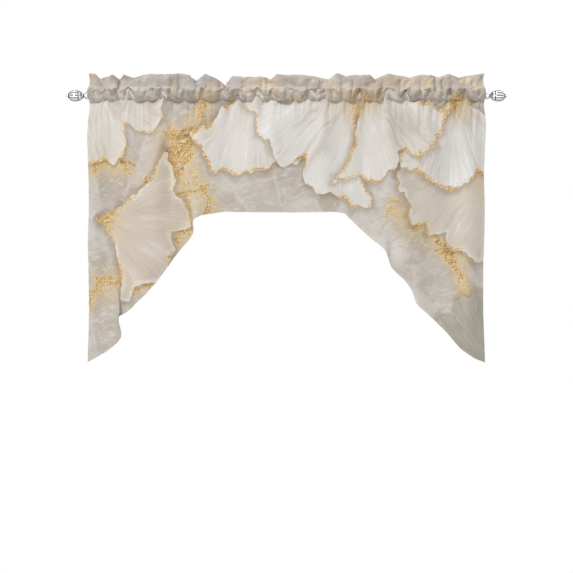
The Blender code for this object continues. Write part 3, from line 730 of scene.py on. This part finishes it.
class Nodes:
    """Short names for adding nodes to a tree and wiring them."""

    def __init__(self, tree):
        self.tree = tree

    def feed(self, socket, value):
        if isinstance(value, Value):
            self.tree.links.new(value.socket, socket)
        elif socket.type == "RGBA" and len(value) == 3:
            socket.default_value = (*value, 1.0)
        else:
            socket.default_value = value

    def node(self, kind, inputs=(), **settings):
        """A new node with its settings, and its inputs fed."""
        node = self.tree.nodes.new("ShaderNode" + kind)
        for key, value in settings.items():
            setattr(node, key, value)
        for key, value in dict(inputs).items():
            self.feed(node.inputs[key], value)
        return node

    def add(self, kind, inputs=(), output=0, **settings):
        """One output of a new node."""
        return Value(self, self.node(kind, inputs, **settings).outputs[output])

    def math(self, operation, *values, clamp=False):
        return self.add("Math", enumerate(values), operation=operation, use_clamp=clamp)

    def pick(self, operation, values):
        """The MINIMUM or MAXIMUM of several numbers."""
        picked = values[0]
        for value in values[1:]:
            picked = self.math(operation, picked, value)
        return picked

    def step(self, value, low, high):
        """0 below low and 1 above high, smoothly between; low may be above high."""
        inputs = {"Value": value, "From Min": low, "From Max": high}
        return self.add("MapRange", inputs, interpolation_type="SMOOTHSTEP")

    def spread(self, value, low, high):
        """A number from 0 to 1, turned into one from low to high."""
        return self.add("MapRange", {"Value": value, "To Min": low, "To Max": high})

    def mix(self, share, first, second, blend="MIX"):
        """The first colour where share is 0, and the second, or their blend, where it is 1."""
        inputs = {0: share, 6: first, 7: second}
        return self.add("Mix", inputs, 2, data_type="RGBA", blend_type=blend)

    def layers(self, colour, *layers):
        """A colour with others laid over it in order, each over its share."""
        for share, over in layers:
            colour = self.mix(share, colour, over)
        return colour

    def choose(self, share, first, second):
        """The first vector where share is 0, and the second where it is 1."""
        return self.add("Mix", {0: share, 4: first, 5: second}, 1, data_type="VECTOR")

    def vector(self, x, y, z=0.0):
        return self.add("CombineXYZ", {"X": x, "Y": y, "Z": z})

    def split(self, vector):
        """A vector's three numbers."""
        return [Value(self, part) for part in self.node("SeparateXYZ", {0: vector}).outputs]

    def moved(self, place, by):
        return self.add("VectorMath", {0: place, 1: by}, operation="ADD")

    def length(self, vector):
        return self.add("VectorMath", {0: vector}, "Value", operation="LENGTH")

    def noise(self, place, scale, detail=2.0, roughness=0.5, output="Fac"):
        inputs = {"Vector": place, "Scale": scale, "Detail": detail, "Roughness": roughness}
        return self.add("TexNoise", inputs, output)

    def wandering(self, place, scale, size, middle):
        """A place, moved aside by a slow noise of its own in each direction."""
        aside = self.moved(self.noise(place, scale, 3.0, output="Color"), (-middle,) * 3)
        aside = self.add("VectorMath", {0: aside, "Scale": size}, operation="SCALE")
        return self.moved(place, aside)

    def embossed(self, place, shift, scale, detail, roughness):
        """A noise, and how it slopes towards the upper left, around 0."""
        here = self.noise(place, scale, detail, roughness)
        there = self.noise(self.moved(place, (shift, -shift, 0.0)), scale, detail, roughness)
        return here, here - there

    def ramp(self, value, places, colours):
        """A colour that runs through several, each at its own place from 0 to 1."""
        node = self.node("ValToRGB", {"Fac": value})
        elements = node.color_ramp.elements
        while len(elements) < len(places):
            elements.new(0.5)
        for element, place, colour in zip(elements, places, colours):
            element.position = place
            element.color = (*colour, 1.0)
        return Value(self, node.outputs["Color"])


def new_material(name):
    """A material, the helper for its nodes, and its shader."""
    material = bpy.data.materials.new(name)
    material.use_nodes = True
    return material, Nodes(material.node_tree), material.node_tree.nodes["Principled BSDF"]


def wire(n, shader, colour, roughness, relief=None, strength=0.0, depth=0.0):
    """Feeds a shader its colour, its roughness and its small relief."""
    n.feed(shader.inputs["Base Color"], colour)
    n.feed(shader.inputs["Roughness"], roughness)
    if relief:
        bump = n.add("Bump", {"Height": relief, "Strength": strength, "Distance": depth})
        n.feed(shader.inputs["Normal"], bump)


# ---- the print: where its leaves and gilding lie on the flat cloth, in metres ----
LEAVES = table(
    "u v radius", "heading spread cream grey",
    (-740, 140, 370, -50, 46, 0.6, 0), (710, -880, 262, 130, 42, 0.2, 1),
    (-90, 160, 400, -80, 50, 0.9, 0), (700, -180, 340, -125, 46, 0.3, 0),
    (-640, -375, 285, -16, 52, 0.1, 0), (560, 20, 300, -75, 56, 1, 0), (270, 60, 400, -130, 40, 1, 0),
    (255, 60, 330, -62, 42, 0.8, 0),
)
GILDED = table(
    "u_start v_start u_end v_end width", "",
    (-230, 50, -360, -160, 50), (-360, -160, -460, -340, 90), (-340, -200, -260, -360, 55),
    (-340, -300, -340, -440, 70), (-700, -200, -560, -220, 60), (-700, -640, -460, -560, 75),
    (300, 60, 460, 50, 50), (360, -360, 560, -500, 50), (560, -500, 600, -660, 45),
)
PRINT_RELIEF, PRINT_DEPTH = 0.35, 0.0009
HEADING_TOP = LOWER_SEAM + POCKET_DEEP  # the upper seam's height on the flat cloth


def segment_distance(n, u, v, vein):
    """How far the place (u, v) is from a straight vein, in widths of the vein."""
    run_u, run_v = vein.u_end - vein.u_start, vein.v_end - vein.v_start
    squared = run_u**2 + run_v**2
    du, dv = u - vein.u_start, v - vein.v_start
    share = n.math("MULTIPLY_ADD", dv, run_v / squared, du * (run_u / squared), clamp=True)
    off = n.length(n.vector(du - share * run_u, dv - share * run_v))
    return n.math("DIVIDE", off, vein.width)


def leaf_outline():
    """One fan-shaped leaf: how far inside its ragged outline a place is, and where on it."""
    number, vector = "NodeSocketFloat", "NodeSocketVector"
    group = bpy.data.node_groups.new("leaf_outline", "ShaderNodeTree")
    for end, label, kind in (
        ("INPUT", "Place", vector),
        ("INPUT", "Radius", number),
        ("INPUT", "Spread", number),
        ("INPUT", "Seed", number),
        ("OUTPUT", "Inside", number),
        ("OUTPUT", "Fan", vector),
    ):
        group.interface.new_socket(name=label, in_out=end, socket_type=kind)
    n = Nodes(group)
    given = group.nodes.new("NodeGroupInput").outputs
    result = group.nodes.new("NodeGroupOutput").inputs
    place, radius, spread, seed = (Value(n, socket) for socket in list(given)[:4])
    across, outwards, _ = n.split(place)
    turn = n.math("ARCTAN2", outwards, across)
    share = n.length(place)

    # the rim: scalloped, with a notch in the middle
    rim = n.noise(n.vector(turn, seed), 4.2) * 0.34 + 0.84
    notch = n.math("POWER", math.e, turn * turn * -160.0)
    inward = (rim - notch * 0.13 - share) * radius

    # the flanks: drawn in towards the stem, so that they curve
    wide = spread * (n.math("POWER", share, 0.8) * 0.62 + 0.42)
    flank = (wide - abs(turn)) * share * radius
    both = n.math("SMOOTH_MIN", inward, flank, 0.030)
    ragged = n.noise(n.moved(place, n.vector(seed, seed, seed)), 7.5, 4.0, 0.62)
    n.feed(result["Inside"], both - 0.017 + ragged * 0.034)
    n.feed(result["Fan"], n.vector(turn, share, seed))
    return group


def lay_leaves(n, drawn):
    """The leaves, each lying on those before it.

    Returns where any leaf is, the shade beside them, and the topmost leaf's own place and
    tones.
    """
    outline = leaf_outline()
    fan, tones, shade, covered = (0.0, 0.0, 0.0), (0.0, 0.0, 0.0), 1.0, 0.0
    for index, row in enumerate(LEAVES):
        at = {
            "Vector": drawn,
            "Location": (row.u, row.v, 0.0),
            "Rotation": (0.0, 0.0, math.radians(row.heading)),
            "Scale": (row.radius, row.radius, 1.0),
        }
        leaf = {
            "Place": n.add("Mapping", at, vector_type="TEXTURE"),
            "Radius": row.radius,
            "Spread": math.radians(row.spread),
            "Seed": 3.7 * index + 1.3,
        }
        inside, leaf_fan = (Value(n, s) for s in n.node("Group", leaf, node_tree=outline).outputs)
        mask = n.math("GREATER_THAN", inside, 0.0)
        halo = n.step(inside, -0.030, 0.003) * (1.0 - mask)
        shade = n.math("MAXIMUM", (halo * -0.55 + 1.0) * shade, mask)
        covered = n.math("MAXIMUM", covered, mask)
        fan = n.choose(mask, fan, leaf_fan)
        tones = n.choose(mask, tones, n.vector(inside, row.cream, row.grey))
    return covered, shade, fan, tones


def printed_cloth(settings):
    """The cloth's printed face: ivory fan leaves and gold leaf on a plastered ground."""
    material, n, shader = new_material("printed_cloth")
    flat = n.add("UVMap", uv_map="flat_cloth")
    u, v, _ = n.split(flat)
    drawn = n.wandering(flat, scale=5.0, size=0.075, middle=0.5)
    covered, shade, fan, tones = lay_leaves(n, drawn)
    colour = plaster(n, settings, drawn)
    colour = n.mix(covered, colour, leaf_colour(n, settings, drawn, fan, tones))
    colour = n.mix(1.0 - shade, colour, settings.leaf_shadow, "MULTIPLY")
    colour = heading_colour(n, settings, colour, flat, u, v)
    colour, thread = stitch_lines(n, colour, v, u, settings)
    shine = n.spread(n.noise(flat, 90.0, 3.0, 0.6), 0.74, 0.90)
    relief = weave_relief(n, u, v) * 0.10 + thread * 0.8
    wire(n, shader, colour, shine, relief, PRINT_RELIEF, PRINT_DEPTH)
    shader.inputs["Specular IOR Level"].default_value = 0.25
    shader.inputs["Sheen Weight"].default_value = 0.12
    shader.inputs["Sheen Roughness"].default_value = 0.45
    return material


def heading_colour(n, settings, colour, flat, u, v):
    """The print on the heading: paler, with painted shade over it that is darkest on the frill, and
    warm and gilt to the right.
    """
    doubled = n.step(v, LOWER_SEAM + 0.006, LOWER_SEAM + 0.024)
    frilled = n.step(v, HEADING_TOP - 0.014, HEADING_TOP + 0.003)
    colour = n.mix(doubled * 0.50, colour, settings.ground)
    # painted shade: the doubled heading is darkened, most on the frill
    colour = n.mix((frilled * 0.60 + 0.40) * doubled, colour, settings.doubled_painted_shade, "MULTIPLY")
    cloudy = n.step(n.noise(flat, 8.0, 3.0), 0.36, 0.62)
    blushed = cloudy * n.step(u, -0.24, -0.06) * doubled
    spots = n.step(n.noise(flat, 11.0, 3.0, 0.6), 0.55, 0.68) * n.step(u, -0.10, 0.02) * doubled
    crumbs, glint = n.embossed(flat, 0.0016, 85.0, 6.0, 0.74)
    flecks = n.step(spots * 0.16 + crumbs, 0.66, 0.70) * spots
    return n.layers(
        colour,
        (blushed * 0.60, settings.blush),
        (spots * 0.60, settings.gold_light),
        (flecks, gold_colour(n, settings, crumbs, glint)),
    )


def plaster(n, settings, drawn):
    """Pale plaster, laid on in overlapping plates whose raised edges carry flaked gold."""
    u, v, _ = n.split(drawn)
    nearness = n.pick("MINIMUM", [segment_distance(n, u, v, vein) for vein in GILDED])
    gilding = n.step(nearness, 1.25, 0.0)
    patches = n.noise(drawn, 5.5, 5.0, 0.55)
    knife = {"Vector": drawn, "Rotation": (0.0, 0.0, math.radians(-38)), "Scale": (0.35, 1.3, 1.0)}
    strokes, lit = n.embossed(n.add("Mapping", knife), 0.0030, 42.0, 5.0, 0.60)
    rough_place = n.wandering(drawn, scale=17.0, size=0.055, middle=0.0)
    cells = {"Vector": rough_place, "Scale": 6.5}
    plates = n.add("TexVoronoi", cells, "Distance", feature="DISTANCE_TO_EDGE")
    tilt = n.add("SeparateColor", {"Color": n.add("TexVoronoi", cells, "Color", feature="F1")})
    tones = (settings.ground_dark, settings.ground, settings.ground_light)
    ground = n.ramp(tilt * 0.22 + patches * 0.78, (0.36, 0.50, 0.64), tones)
    warmth = (patches - 0.5) * 2.4 + n.step(nearness, 1.7, 0.4)
    edges = n.step(plates, 0.075, 0.0)  # raised, and pale on top
    ground = n.layers(
        ground,
        (n.step(warmth, 0.25, 1.05) * 0.75, settings.ground_warm),
        (n.step(strokes, 0.54, 0.74) * 0.6, settings.ground_light),
        (n.step(lit, 0.01, 0.12) * 0.7, settings.ground_light),
        (n.step(lit, -0.01, -0.12) * 0.5, settings.ground_dark),
        (n.step(plates, 0.16, 0.0) * 0.25, settings.ground_dark),
        (edges * 0.45, settings.ground_light),
    )

    # gold: thick on the edges and in flakes around them, thinning out to single specks
    crumbs, glint = n.embossed(rough_place, 0.0016, 85.0, 6.0, 0.74)
    cover = edges * 0.42 + gilding * 0.62 + strokes * 0.55 + crumbs * 1.6
    cover = cover - n.step(gilding, 0.35, 0.0) * 0.30
    return n.layers(
        ground,
        (n.step(cover, 1.30, 1.75) * 0.75, settings.gold_wash),
        (n.step(cover, 1.68, 1.76), gold_colour(n, settings, crumbs, glint)),
    )


def gold_colour(n, settings, crumbs, glint):
    """Flaked gold leaf: dark in its cracks, gold, and pale where it catches the light."""
    tones = (settings.gold_dark, settings.gold, settings.gold, settings.gold_light)
    return n.ramp(glint * 2.6 + crumbs * 0.7 + 0.10, (0.24, 0.40, 0.55, 0.72), tones)


def leaf_colour(n, settings, drawn, fan, tones):
    """A leaf's ivory face: rays from the stem, soft pleats, a pale rim and gold on its edge."""
    turn, share, seed = n.split(fan)
    inside, cream, grey = n.split(tones)
    rays = n.noise(n.vector(turn * 15.0, share, seed), 2.4, 6.0, 0.66)
    pleats = n.noise(n.vector(turn * 2.6, share, seed), 1.6)
    light = (n.noise(drawn, 9.0, 4.0, 0.6) - 0.5) * 0.30 + (rays * 0.50 + pleats * 0.50)
    crease = n.step(abs(turn), 0.030, 0.0) * n.step(share, 0.2, 0.8)
    green = n.mix(n.step(light, 0.36, 0.66), settings.grey_shade, settings.grey_light)
    colour = n.layers(
        n.mix(cream, settings.petal_shade, settings.petal),
        (n.step(share, 0.62, 0.08) * 0.60, settings.petal_shade),
        (n.step(light, 0.50, 0.70) * (cream * 0.55 + 0.45), settings.petal_light),
        (n.step(light, 0.50, 0.32) * 0.8, settings.petal_fold),
        (n.step(inside, 0.020, 0.002) * 0.6, settings.petal_light),
        (crease * 0.5, settings.petal_fold),
        (grey * 0.9, green),
    )

    # gold comes and goes along the edge, and runs out from the stem in thin rays
    crumbs, glint = n.embossed(drawn, 0.0014, 95.0, 5.0, 0.74)
    band = n.step(n.noise(drawn, 12.0), 0.36, 0.62) * 0.0110 - 0.0025
    depth = (crumbs - 0.5) * 0.060 + (band - abs(inside - 0.0035))
    stem = crumbs * 0.5 + (rays * 1.1 - share * 1.7)
    wash = n.pick("MAXIMUM", (n.step(depth, -0.012, 0.002) * 0.45, n.step(stem, 0.02, 0.36) * 0.6))
    gilt = n.pick("MAXIMUM", (n.step(depth, 0.0, 0.0015), n.step(stem, 0.34, 0.42)))
    return n.layers(
        colour,
        (wash * (1.0 - grey), settings.gold_wash),
        (gilt * (1.0 - grey * 0.8), gold_colour(n, settings, crumbs, glint)),
    )


def stitch_lines(n, colour, v, u, settings):
    """Rows of short stitches along both seams and inside the hems, their relief, and painted shade in
    the hems' groove.
    """
    gap, run = (n.add("Attribute", (), "Fac", attribute_name=a) for a in ("edge_gap", "edge_run"))
    dashes = []
    for across, place, lengthwise in (
        (gap, HEM_DEEP, run),
        (v, LOWER_SEAM + 0.0010, u),
        (v, HEADING_TOP + 0.0010, u),
    ):
        phase = n.math("PINGPONG", n.math("DIVIDE", lengthwise, settings.stitch_pitch), 1.0)
        near = n.step(abs(across - place), 0.00055, 0.00030)
        dashes.append(near * n.step(phase, 0.22, 0.34))
    stitches = n.pick("MAXIMUM", dashes)
    pull = n.step(abs(gap - HEM_DEEP), 0.0022, 0.0004)
    # painted shade in the groove that the hem's stitches pull
    colour = n.mix(pull * 0.10, colour, settings.leaf_shadow, "MULTIPLY")
    colour = n.mix(stitches * 0.75, colour, settings.thread)
    relief = stitches * 0.5 - pull * 0.4
    return colour, n.step(gap, 0.0002, 0.0016) * 0.1 + relief


def weave_relief(n, u, v):
    """Plain weave: threads over and under, a little uneven."""
    turns = math.tau / 0.0011  # one pair of threads in 1.1 mm
    wander = n.noise(n.vector(u, v), 140.0) * 2.5
    return n.math("SINE", u * turns + wander) * n.math("SINE", v * turns + wander)


def cloth_back(settings):
    """The cloth's unprinted back: pale and a little cloudy, with fine slubs."""
    material, n, shader = new_material("cloth_back")
    flat = n.add("UVMap", uv_map="flat_cloth")
    u, v, _ = n.split(flat)
    cloudy = n.noise(flat, 6.0, 4.0, 0.55)
    colour = n.mix(n.step(cloudy, 0.42, 0.66), settings.back, settings.ground_light)
    slubs = n.noise(n.vector(u * 0.15, v), 900.0)
    colour = n.mix(n.step(slubs, 0.55, 0.75) * 0.18, colour, settings.ground)
    colour, thread = stitch_lines(n, colour, v, u, settings)
    relief = weave_relief(n, u, v) * 0.12 + thread * 0.8
    wire(n, shader, colour, n.spread(cloudy, 0.80, 0.92), relief, PRINT_RELIEF, PRINT_DEPTH)
    shader.inputs["Specular IOR Level"].default_value = 0.2
    shader.inputs["Sheen Weight"].default_value = 0.12
    return material


# ---- the finials ----
LOBES = 12
STEPS_PER_LOBE = 4
RINGS = table(
    "along radius", "",
    (0.4, 9), (0.4, 12.5), (1.8, 12.8), (2.2, 10), (3.4, 8.5), (6, 10.3), (9.8, 11.2), (14, 10.4),
    (17.5, 7.8), (19, 5.6), (20.4, 5.2), (21.8, 5.6), (22.8, 7.4), (25, 10.4), (28.5, 13.8),
    (32.5, 16), (35.2, 16.8), (35.8, 16), (36, 14.6), (37, 14.4), (37.4, 16.2), (38.4, 17.6),
    (42, 19), (47, 19.6), (52, 19), (57, 17.2), (61.5, 14.6), (65, 11.6), (66.8, 9), (67.4, 7.2),
    (67.8, 7.6), (68.8, 7.8), (69.4, 6.8), (69.8, 3.6), (71, 3), (72.8, 4), (74.6, 3.4), (75.6, 1.6),
)
FLUTED = table("low high", "cut", (22.2, 35.4, 0.88), (37.8, 66.4, 0.85))
SHOULDER = 0.16  # how much of a groove's depth the lines beside it have
GROOVES = table("middle half", "", (36.6, 2.0), (20.4, 2.4), (67.8, 1.4))
TIP_LENGTH, TIP_SCALE = 0.0003, 0.3


def turn_finial(name, side):
    """A finial turned ring by ring outwards from the pole's end, then fluted."""
    start = side * POLE_BOX[1][0]
    deselect_all()
    bpy.ops.mesh.primitive_circle_add(
        vertices=LOBES * STEPS_PER_LOBE,
        radius=RINGS[0].radius,
        fill_type="NOTHING",
        location=(start + side * RINGS[0].along, 0, 0),
        rotation=(0, math.pi / 2, 0),
    )
    finial = bpy.context.object
    finial.name = finial.data.name = name
    bpy.ops.object.transform_apply(location=True, rotation=True, scale=True)
    bpy.ops.object.mode_set(mode="EDIT")
    bpy.ops.mesh.select_all(action="SELECT")
    steps = [(b.along - a.along, b.radius / a.radius) for a, b in zip(RINGS, RINGS[1:])]
    for length, scale in (*steps, (TIP_LENGTH, TIP_SCALE)):
        bpy.ops.mesh.extrude_edges_move(TRANSFORM_OT_translate={"value": (side * length, 0, 0)})
        bpy.ops.transform.resize(value=(1, scale, scale), center_override=(start, 0, 0))
    bpy.ops.mesh.edge_face_add()
    for row in FLUTED:
        beside = 1 - (1 - row.cut) * SHOULDER
        for offset, scale in ((0, row.cut), (1, beside), (-1, beside)):
            select_groove(finial, start, side, row, offset)
            bpy.ops.transform.resize(value=(1, scale, scale), center_override=(start, 0, 0))
    bpy.ops.mesh.select_all(action="SELECT")
    bpy.ops.mesh.normals_make_consistent(inside=False)
    bpy.ops.object.mode_set(mode="OBJECT")
    smooth = finial.modifiers.new("smooth", "SUBSURF")
    smooth.levels = smooth.render_levels = 2
    apply_modifiers(finial)
    finial.data.shade_smooth()
    return finial


def select_groove(finial, start, side, row, offset):
    """Selects the lengthwise lines that are `offset` steps from a groove, within its span."""
    mesh = bmesh.from_edit_mesh(finial.data)
    step = math.tau / (LOBES * STEPS_PER_LOBE)
    for vertex in mesh.verts:
        reach = side * (vertex.co.x - start)
        turn = round(math.atan2(vertex.co.y, -vertex.co.z) / step) - offset
        vertex.select = row.low < reach < row.high and turn % STEPS_PER_LOBE == 0
    mesh.select_flush_mode()
    bmesh.update_edit_mesh(finial.data)


def silver(settings, name, grooves):
    """Polished silver plate with a little tarnish, darker in the finials' grooves."""
    material, n, shader = new_material(name)
    place = n.add("TexCoord", (), "Object")
    mottled = n.noise(place, 160.0, 4.0, 0.6)
    fine = n.add("Mapping", {"Vector": place, "Scale": (1.0, 12.0, 12.0)})
    colour = n.mix(n.step(mottled, 0.40, 0.75), settings.silver, settings.silver_shade)
    rough = n.spread(mottled, 0.10, 0.24)
    if grooves:
        groove = groove_tarnish(n, place)
        colour = n.mix(groove, colour, settings.tarnish)
        rough = groove * 0.30 + rough
    wire(n, shader, colour, rough, n.noise(fine, 300.0), 0.06, 0.0002)
    shader.inputs["Metallic"].default_value = 1.0
    return material


def groove_tarnish(n, place):
    """Where a finial is tarnished: in the flutes of its cup and bulb, and between its rings."""
    x, y, z = n.split(place)
    reach = abs(x) - float(POLE_BOX[1][0])
    beside = abs(n.math("SINE", n.math("ARCTAN2", y, z) * (LOBES / 2)))
    bulb = n.step(reach, 0.0376, 0.0392) * n.step(reach, 0.0668, 0.0640)
    cup = n.step(reach, 0.0225, 0.0245) * n.step(reach, 0.0356, 0.0350) * 0.7
    flutes = n.step(beside, 0.62, 0.30) * n.math("MAXIMUM", bulb, cup)
    rings = [n.step(abs(reach - row.middle), row.half, row.half * 0.35) for row in GROOVES]
    return n.pick("MAXIMUM", [flutes, *rings])


# ---- settings ----
def tint(name, description, red, green, blue):
    """A colour that a user may change, from a screen colour."""
    return FloatVectorProperty(
        name=name,
        description=description,
        subtype="COLOR",
        size=3,
        min=0.0,
        max=1.0,
        default=srgb(red, green, blue),
    )


def number(name, description, default, unit="NONE"):
    """A number that a user may change."""
    return FloatProperty(name=name, description=description, default=default, unit=unit)


def length(name, description, default):
    """A length that a user may change, in metres."""
    return number(name, description, default, "LENGTH")


class ClothSettings(PropertyGroup):
    thickness: length("Thickness", "Thickness of one layer of the cloth", 0.0005)
    stitch_pitch: length("Stitch pitch", "Length of a stitch and its gap", 0.0036)
    columns: IntProperty(
        name="Columns", description="Columns across the sheet", default=COLUMNS, min=60
    )
    ground: tint("Ground", "Plastered ground of the print", 207, 200, 191)
    ground_warm: tint("Ground, warm", "Warm wash about the gilding", 204, 185, 156)
    ground_dark: tint("Ground, dark", "Hollows of the ground", 192, 181, 168)
    ground_light: tint("Ground, light", "Strokes on the ground", 224, 219, 212)
    petal: tint("Leaf", "Ivory of the leaves", 228, 224, 218)
    petal_shade: tint("Leaf, shaded", "Pleats of the leaves", 213, 200, 182)
    petal_light: tint("Leaf, light", "Rays and rims of the leaves", 243, 242, 240)
    petal_fold: tint("Leaf, folds", "Creases of the leaves", 200, 189, 176)
    grey_light: tint("Grey leaf", "Greenish grey of one leaf", 192, 187, 173)
    grey_shade: tint("Grey leaf, shaded", "Its darker rays", 163, 159, 147)
    leaf_shadow: tint("Leaf shadow", "Shade beside a leaf", 184, 166, 140)
    gold: tint("Gold", "Gold leaf", 216, 182, 124)
    gold_dark: tint("Gold, dark", "Gold leaf in shade", 156, 114, 62)
    gold_light: tint("Gold, light", "Gold leaf in light", 247, 232, 192)
    gold_wash: tint("Gold wash", "Thin gold around the flakes", 218, 197, 162)
    blush: tint("Blush", "Warm cream that comes and goes on the heading", 224, 209, 187)
    # painted shade over the doubled heading, darkest on the frill
    doubled_painted_shade: tint("Heading painted shade", "Painted shade where the cloth is doubled", 230, 229, 233)
    back: tint("Back", "Unprinted back of the cloth", 232, 228, 222)
    thread: tint("Thread", "Sewing thread", 216, 209, 200)


class MetalSettings(PropertyGroup):
    silver: tint("Silver", "Polished plate", 243, 243, 244)
    silver_shade: tint("Silver, dull", "Dull patches of the plate", 226, 226, 230)
    tarnish: tint("Tarnish", "Dark patina in the grooves", 34, 34, 38)


class StageSettings(PropertyGroup):
    floor: tint("Floor", "Pale floor", 236, 235, 233)
    floor_drop: length("Floor", "Height of the floor below the pole", 2.0)
    lens: number("Lens", "Focal length in millimetres", 119.2)
    distance: length("Distance", "From the camera to the cloth", 6.0)
    eye_height: length("Eye height", "The camera's height over the pole", -0.603)
    key_watts: number("Key light", "Power of the large light above the front", 168.0)
    fill_watts: number("Fill light", "Power of the wide light beside the camera", 10.0)
    behind_watts: number("Light behind", "Power of the soft light on the cloth's back", 70.0)


# ---- operators ----
class SewCloth(Operator):
    """Sew the printed cloth with its frill, pocket, folds and hem"""

    bl_idname = "swag.sew_cloth"
    bl_label = "Sew the cloth"

    def execute(self, context):
        settings = context.scene.swag_cloth
        faces = (printed_cloth(settings), cloth_back(settings))
        cloth, area = sew_sheet("valance_cloth", settings.columns, settings.thickness, faces)
        hung = max(row.drop for row in HEM) + LOWER_SEAM
        long = hung + 2 * POCKET_DEEP + 2 * FRILL_DEEP + TURNED_UNDER
        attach(cloth, "root")
        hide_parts("valance")
        return {"FINISHED"}


class TurnFinials(Operator):
    """Turn and flute the finial in each end of the pole"""

    bl_idname = "swag.turn_finials"
    bl_label = "Turn the finials"

    def execute(self, context):
        material = silver(context.scene.swag_metal, "polished_silver", True)
        for node, side in (("finial_left", -1), ("finial_right", 1)):
            finial = turn_finial(node + "_turned", side)
            finial.data.materials.clear()
            finial.data.materials.append(material)
            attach(finial, "root")
            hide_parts(node)
        return {"FINISHED"}


class PolishPole(Operator):
    """Give the pole its polished plate"""

    bl_idname = "swag.polish_pole"
    bl_label = "Polish the pole"

    def execute(self, context):
        material = silver(context.scene.swag_metal, "polished_pole", False)
        for slot in bpy.data.objects["pole"].material_slots:
            slot.material = material
        return {"FINISHED"}


FLOOR_RADIUS = 3.2
LIGHTS = (
    ("key", (-2.0, -3.6, 3.0), 1.1),
    ("fill", (1.6, -4.6, -0.2), 3.0),
    ("behind", (1.8, 4.0, 1.6), 2.0),
)
LIT_MIDDLE = (0, 0, -0.3)
CAMERA_ASIDE = -0.001
SENSOR_WIDTH, FARTHEST = 36.0, 60.0
SKY_HEIGHTS = (0.0, 0.44, 0.60, 1.0)
SKY_TONES = ((0.20, 0.21), (0.42, 0.43), (0.95, 0.95), (1.0, 1.0))
SKY_STRENGTH = 0.50
WHITE = (1.0, 1.0, 1.0)


class SetStage(Operator):
    """Set the pale floor, the soft lights and the camera"""

    bl_idname = "swag.set_stage"
    bl_label = "Set the stage"

    def execute(self, context):
        scene, settings = context.scene, context.scene.swag_stage
        self.lay_floor(settings)
        for name, place, size in LIGHTS:
            self.add_light(scene, name, place, size, getattr(settings, name + "_watts"))
        self.set_world(scene)
        camera = bpy.data.cameras.new("camera")
        camera.lens = settings.lens
        camera.sensor_width = SENSOR_WIDTH
        camera.clip_end = FARTHEST
        view = bpy.data.objects.new("camera", camera)
        view.location = (CAMERA_ASIDE, -settings.distance, settings.eye_height)
        view.rotation_euler = (math.pi / 2, 0, 0)
        scene.collection.objects.link(view)
        scene.camera = view
        scene.view_settings.view_transform = "Standard"
        return {"FINISHED"}

    def lay_floor(self, settings):
        deselect_all()
        bpy.ops.mesh.primitive_circle_add(
            vertices=96, radius=FLOOR_RADIUS, fill_type="NGON", location=(0, 0, -settings.floor_drop)
        )
        floor = bpy.context.object
        floor.name = "floor"
        material, n, shader = new_material("pale_floor")
        grain = n.noise(n.add("TexCoord", (), "Object"), 14.0, 4.0, 0.6)
        colour = n.mix(n.spread(grain, 0.0, 0.06), settings.floor, srgb(200, 200, 200))
        wire(n, shader, colour, n.spread(grain, 0.75, 0.9))
        floor.data.materials.append(material)

    def add_light(self, scene, name, place, size, watts):
        light = bpy.data.lights.new(name, "AREA")
        light.size = size
        light.energy = watts
        lamp = bpy.data.objects.new(name, light)
        lamp.location = place
        aim = Vector(LIT_MIDDLE) - Vector(place)
        lamp.rotation_euler = aim.to_track_quat("-Z", "Y").to_euler()
        scene.collection.objects.link(lamp)

    def set_world(self, scene):
        """White where the camera looks past the cloth, and a soft sky above to light it."""
        world = bpy.data.worlds.new("studio")
        scene.world = world
        world.use_nodes = True
        n = Nodes(world.node_tree)
        lit = world.node_tree.nodes["Background"]
        _, deep, high = n.split(n.add("TexCoord", (), "Generated"))
        greys = [(tone, tone, blue) for tone, blue in SKY_TONES]
        n.feed(lit.inputs["Color"], n.ramp(high * 0.5 + 0.5, SKY_HEIGHTS, greys))
        lit.inputs["Strength"].default_value = SKY_STRENGTH
        tent = n.step(deep, 0.38, -0.02) * n.step(high, -0.75, -0.30) * 1.10 + 0.07
        mirrored = n.add("Background", {"Color": WHITE, "Strength": tent})
        plain = n.add("Background", {"Color": WHITE, "Strength": 1.0})
        glossy, straight = (n.add("LightPath", (), f"Is {ray} Ray") for ray in ("Glossy", "Camera"))
        seen = n.add("MixShader", {0: glossy, 1: Value(n, lit.outputs[0]), 2: mirrored})
        both = n.add("MixShader", {0: straight, 1: seen, 2: plain})
        n.feed(world.node_tree.nodes["World Output"].inputs["Surface"], both)


class SwagPanel(Panel):
    """Lists the steps that finish the valance, with their sizes and colours"""

    bl_idname = "VIEW3D_PT_swag_valance"
    bl_label = "Swag valance"
    bl_space_type = "VIEW_3D"
    bl_region_type = "UI"
    bl_category = "Swag"

    def draw(self, context):
        scene = context.scene
        for step, settings in (
            (SewCloth, scene.swag_cloth),
            (TurnFinials, scene.swag_metal),
            (PolishPole, None),
            (SetStage, scene.swag_stage),
        ):
            box = self.layout.box()
            box.operator(step.bl_idname)
            for name in settings.__annotations__ if settings else ():
                box.prop(settings, name)


GROUPS = {"swag_cloth": ClothSettings, "swag_metal": MetalSettings, "swag_stage": StageSettings}
CLASSES = (*GROUPS.values(), SewCloth, TurnFinials, PolishPole, SetStage, SwagPanel)


def register():
    for cls in CLASSES:
        bpy.utils.register_class(cls)
    for name, group in GROUPS.items():
        setattr(bpy.types.Scene, name, PointerProperty(type=group))


def unregister():
    for name in GROUPS:
        delattr(bpy.types.Scene, name)
    for cls in reversed(CLASSES):
        bpy.utils.unregister_class(cls)


def main():
    register()
    bpy.ops.swag.sew_cloth()
    bpy.ops.swag.turn_finials()
    bpy.ops.swag.polish_pole()
    bpy.ops.swag.set_stage()


if __name__ == "__main__":
    main()
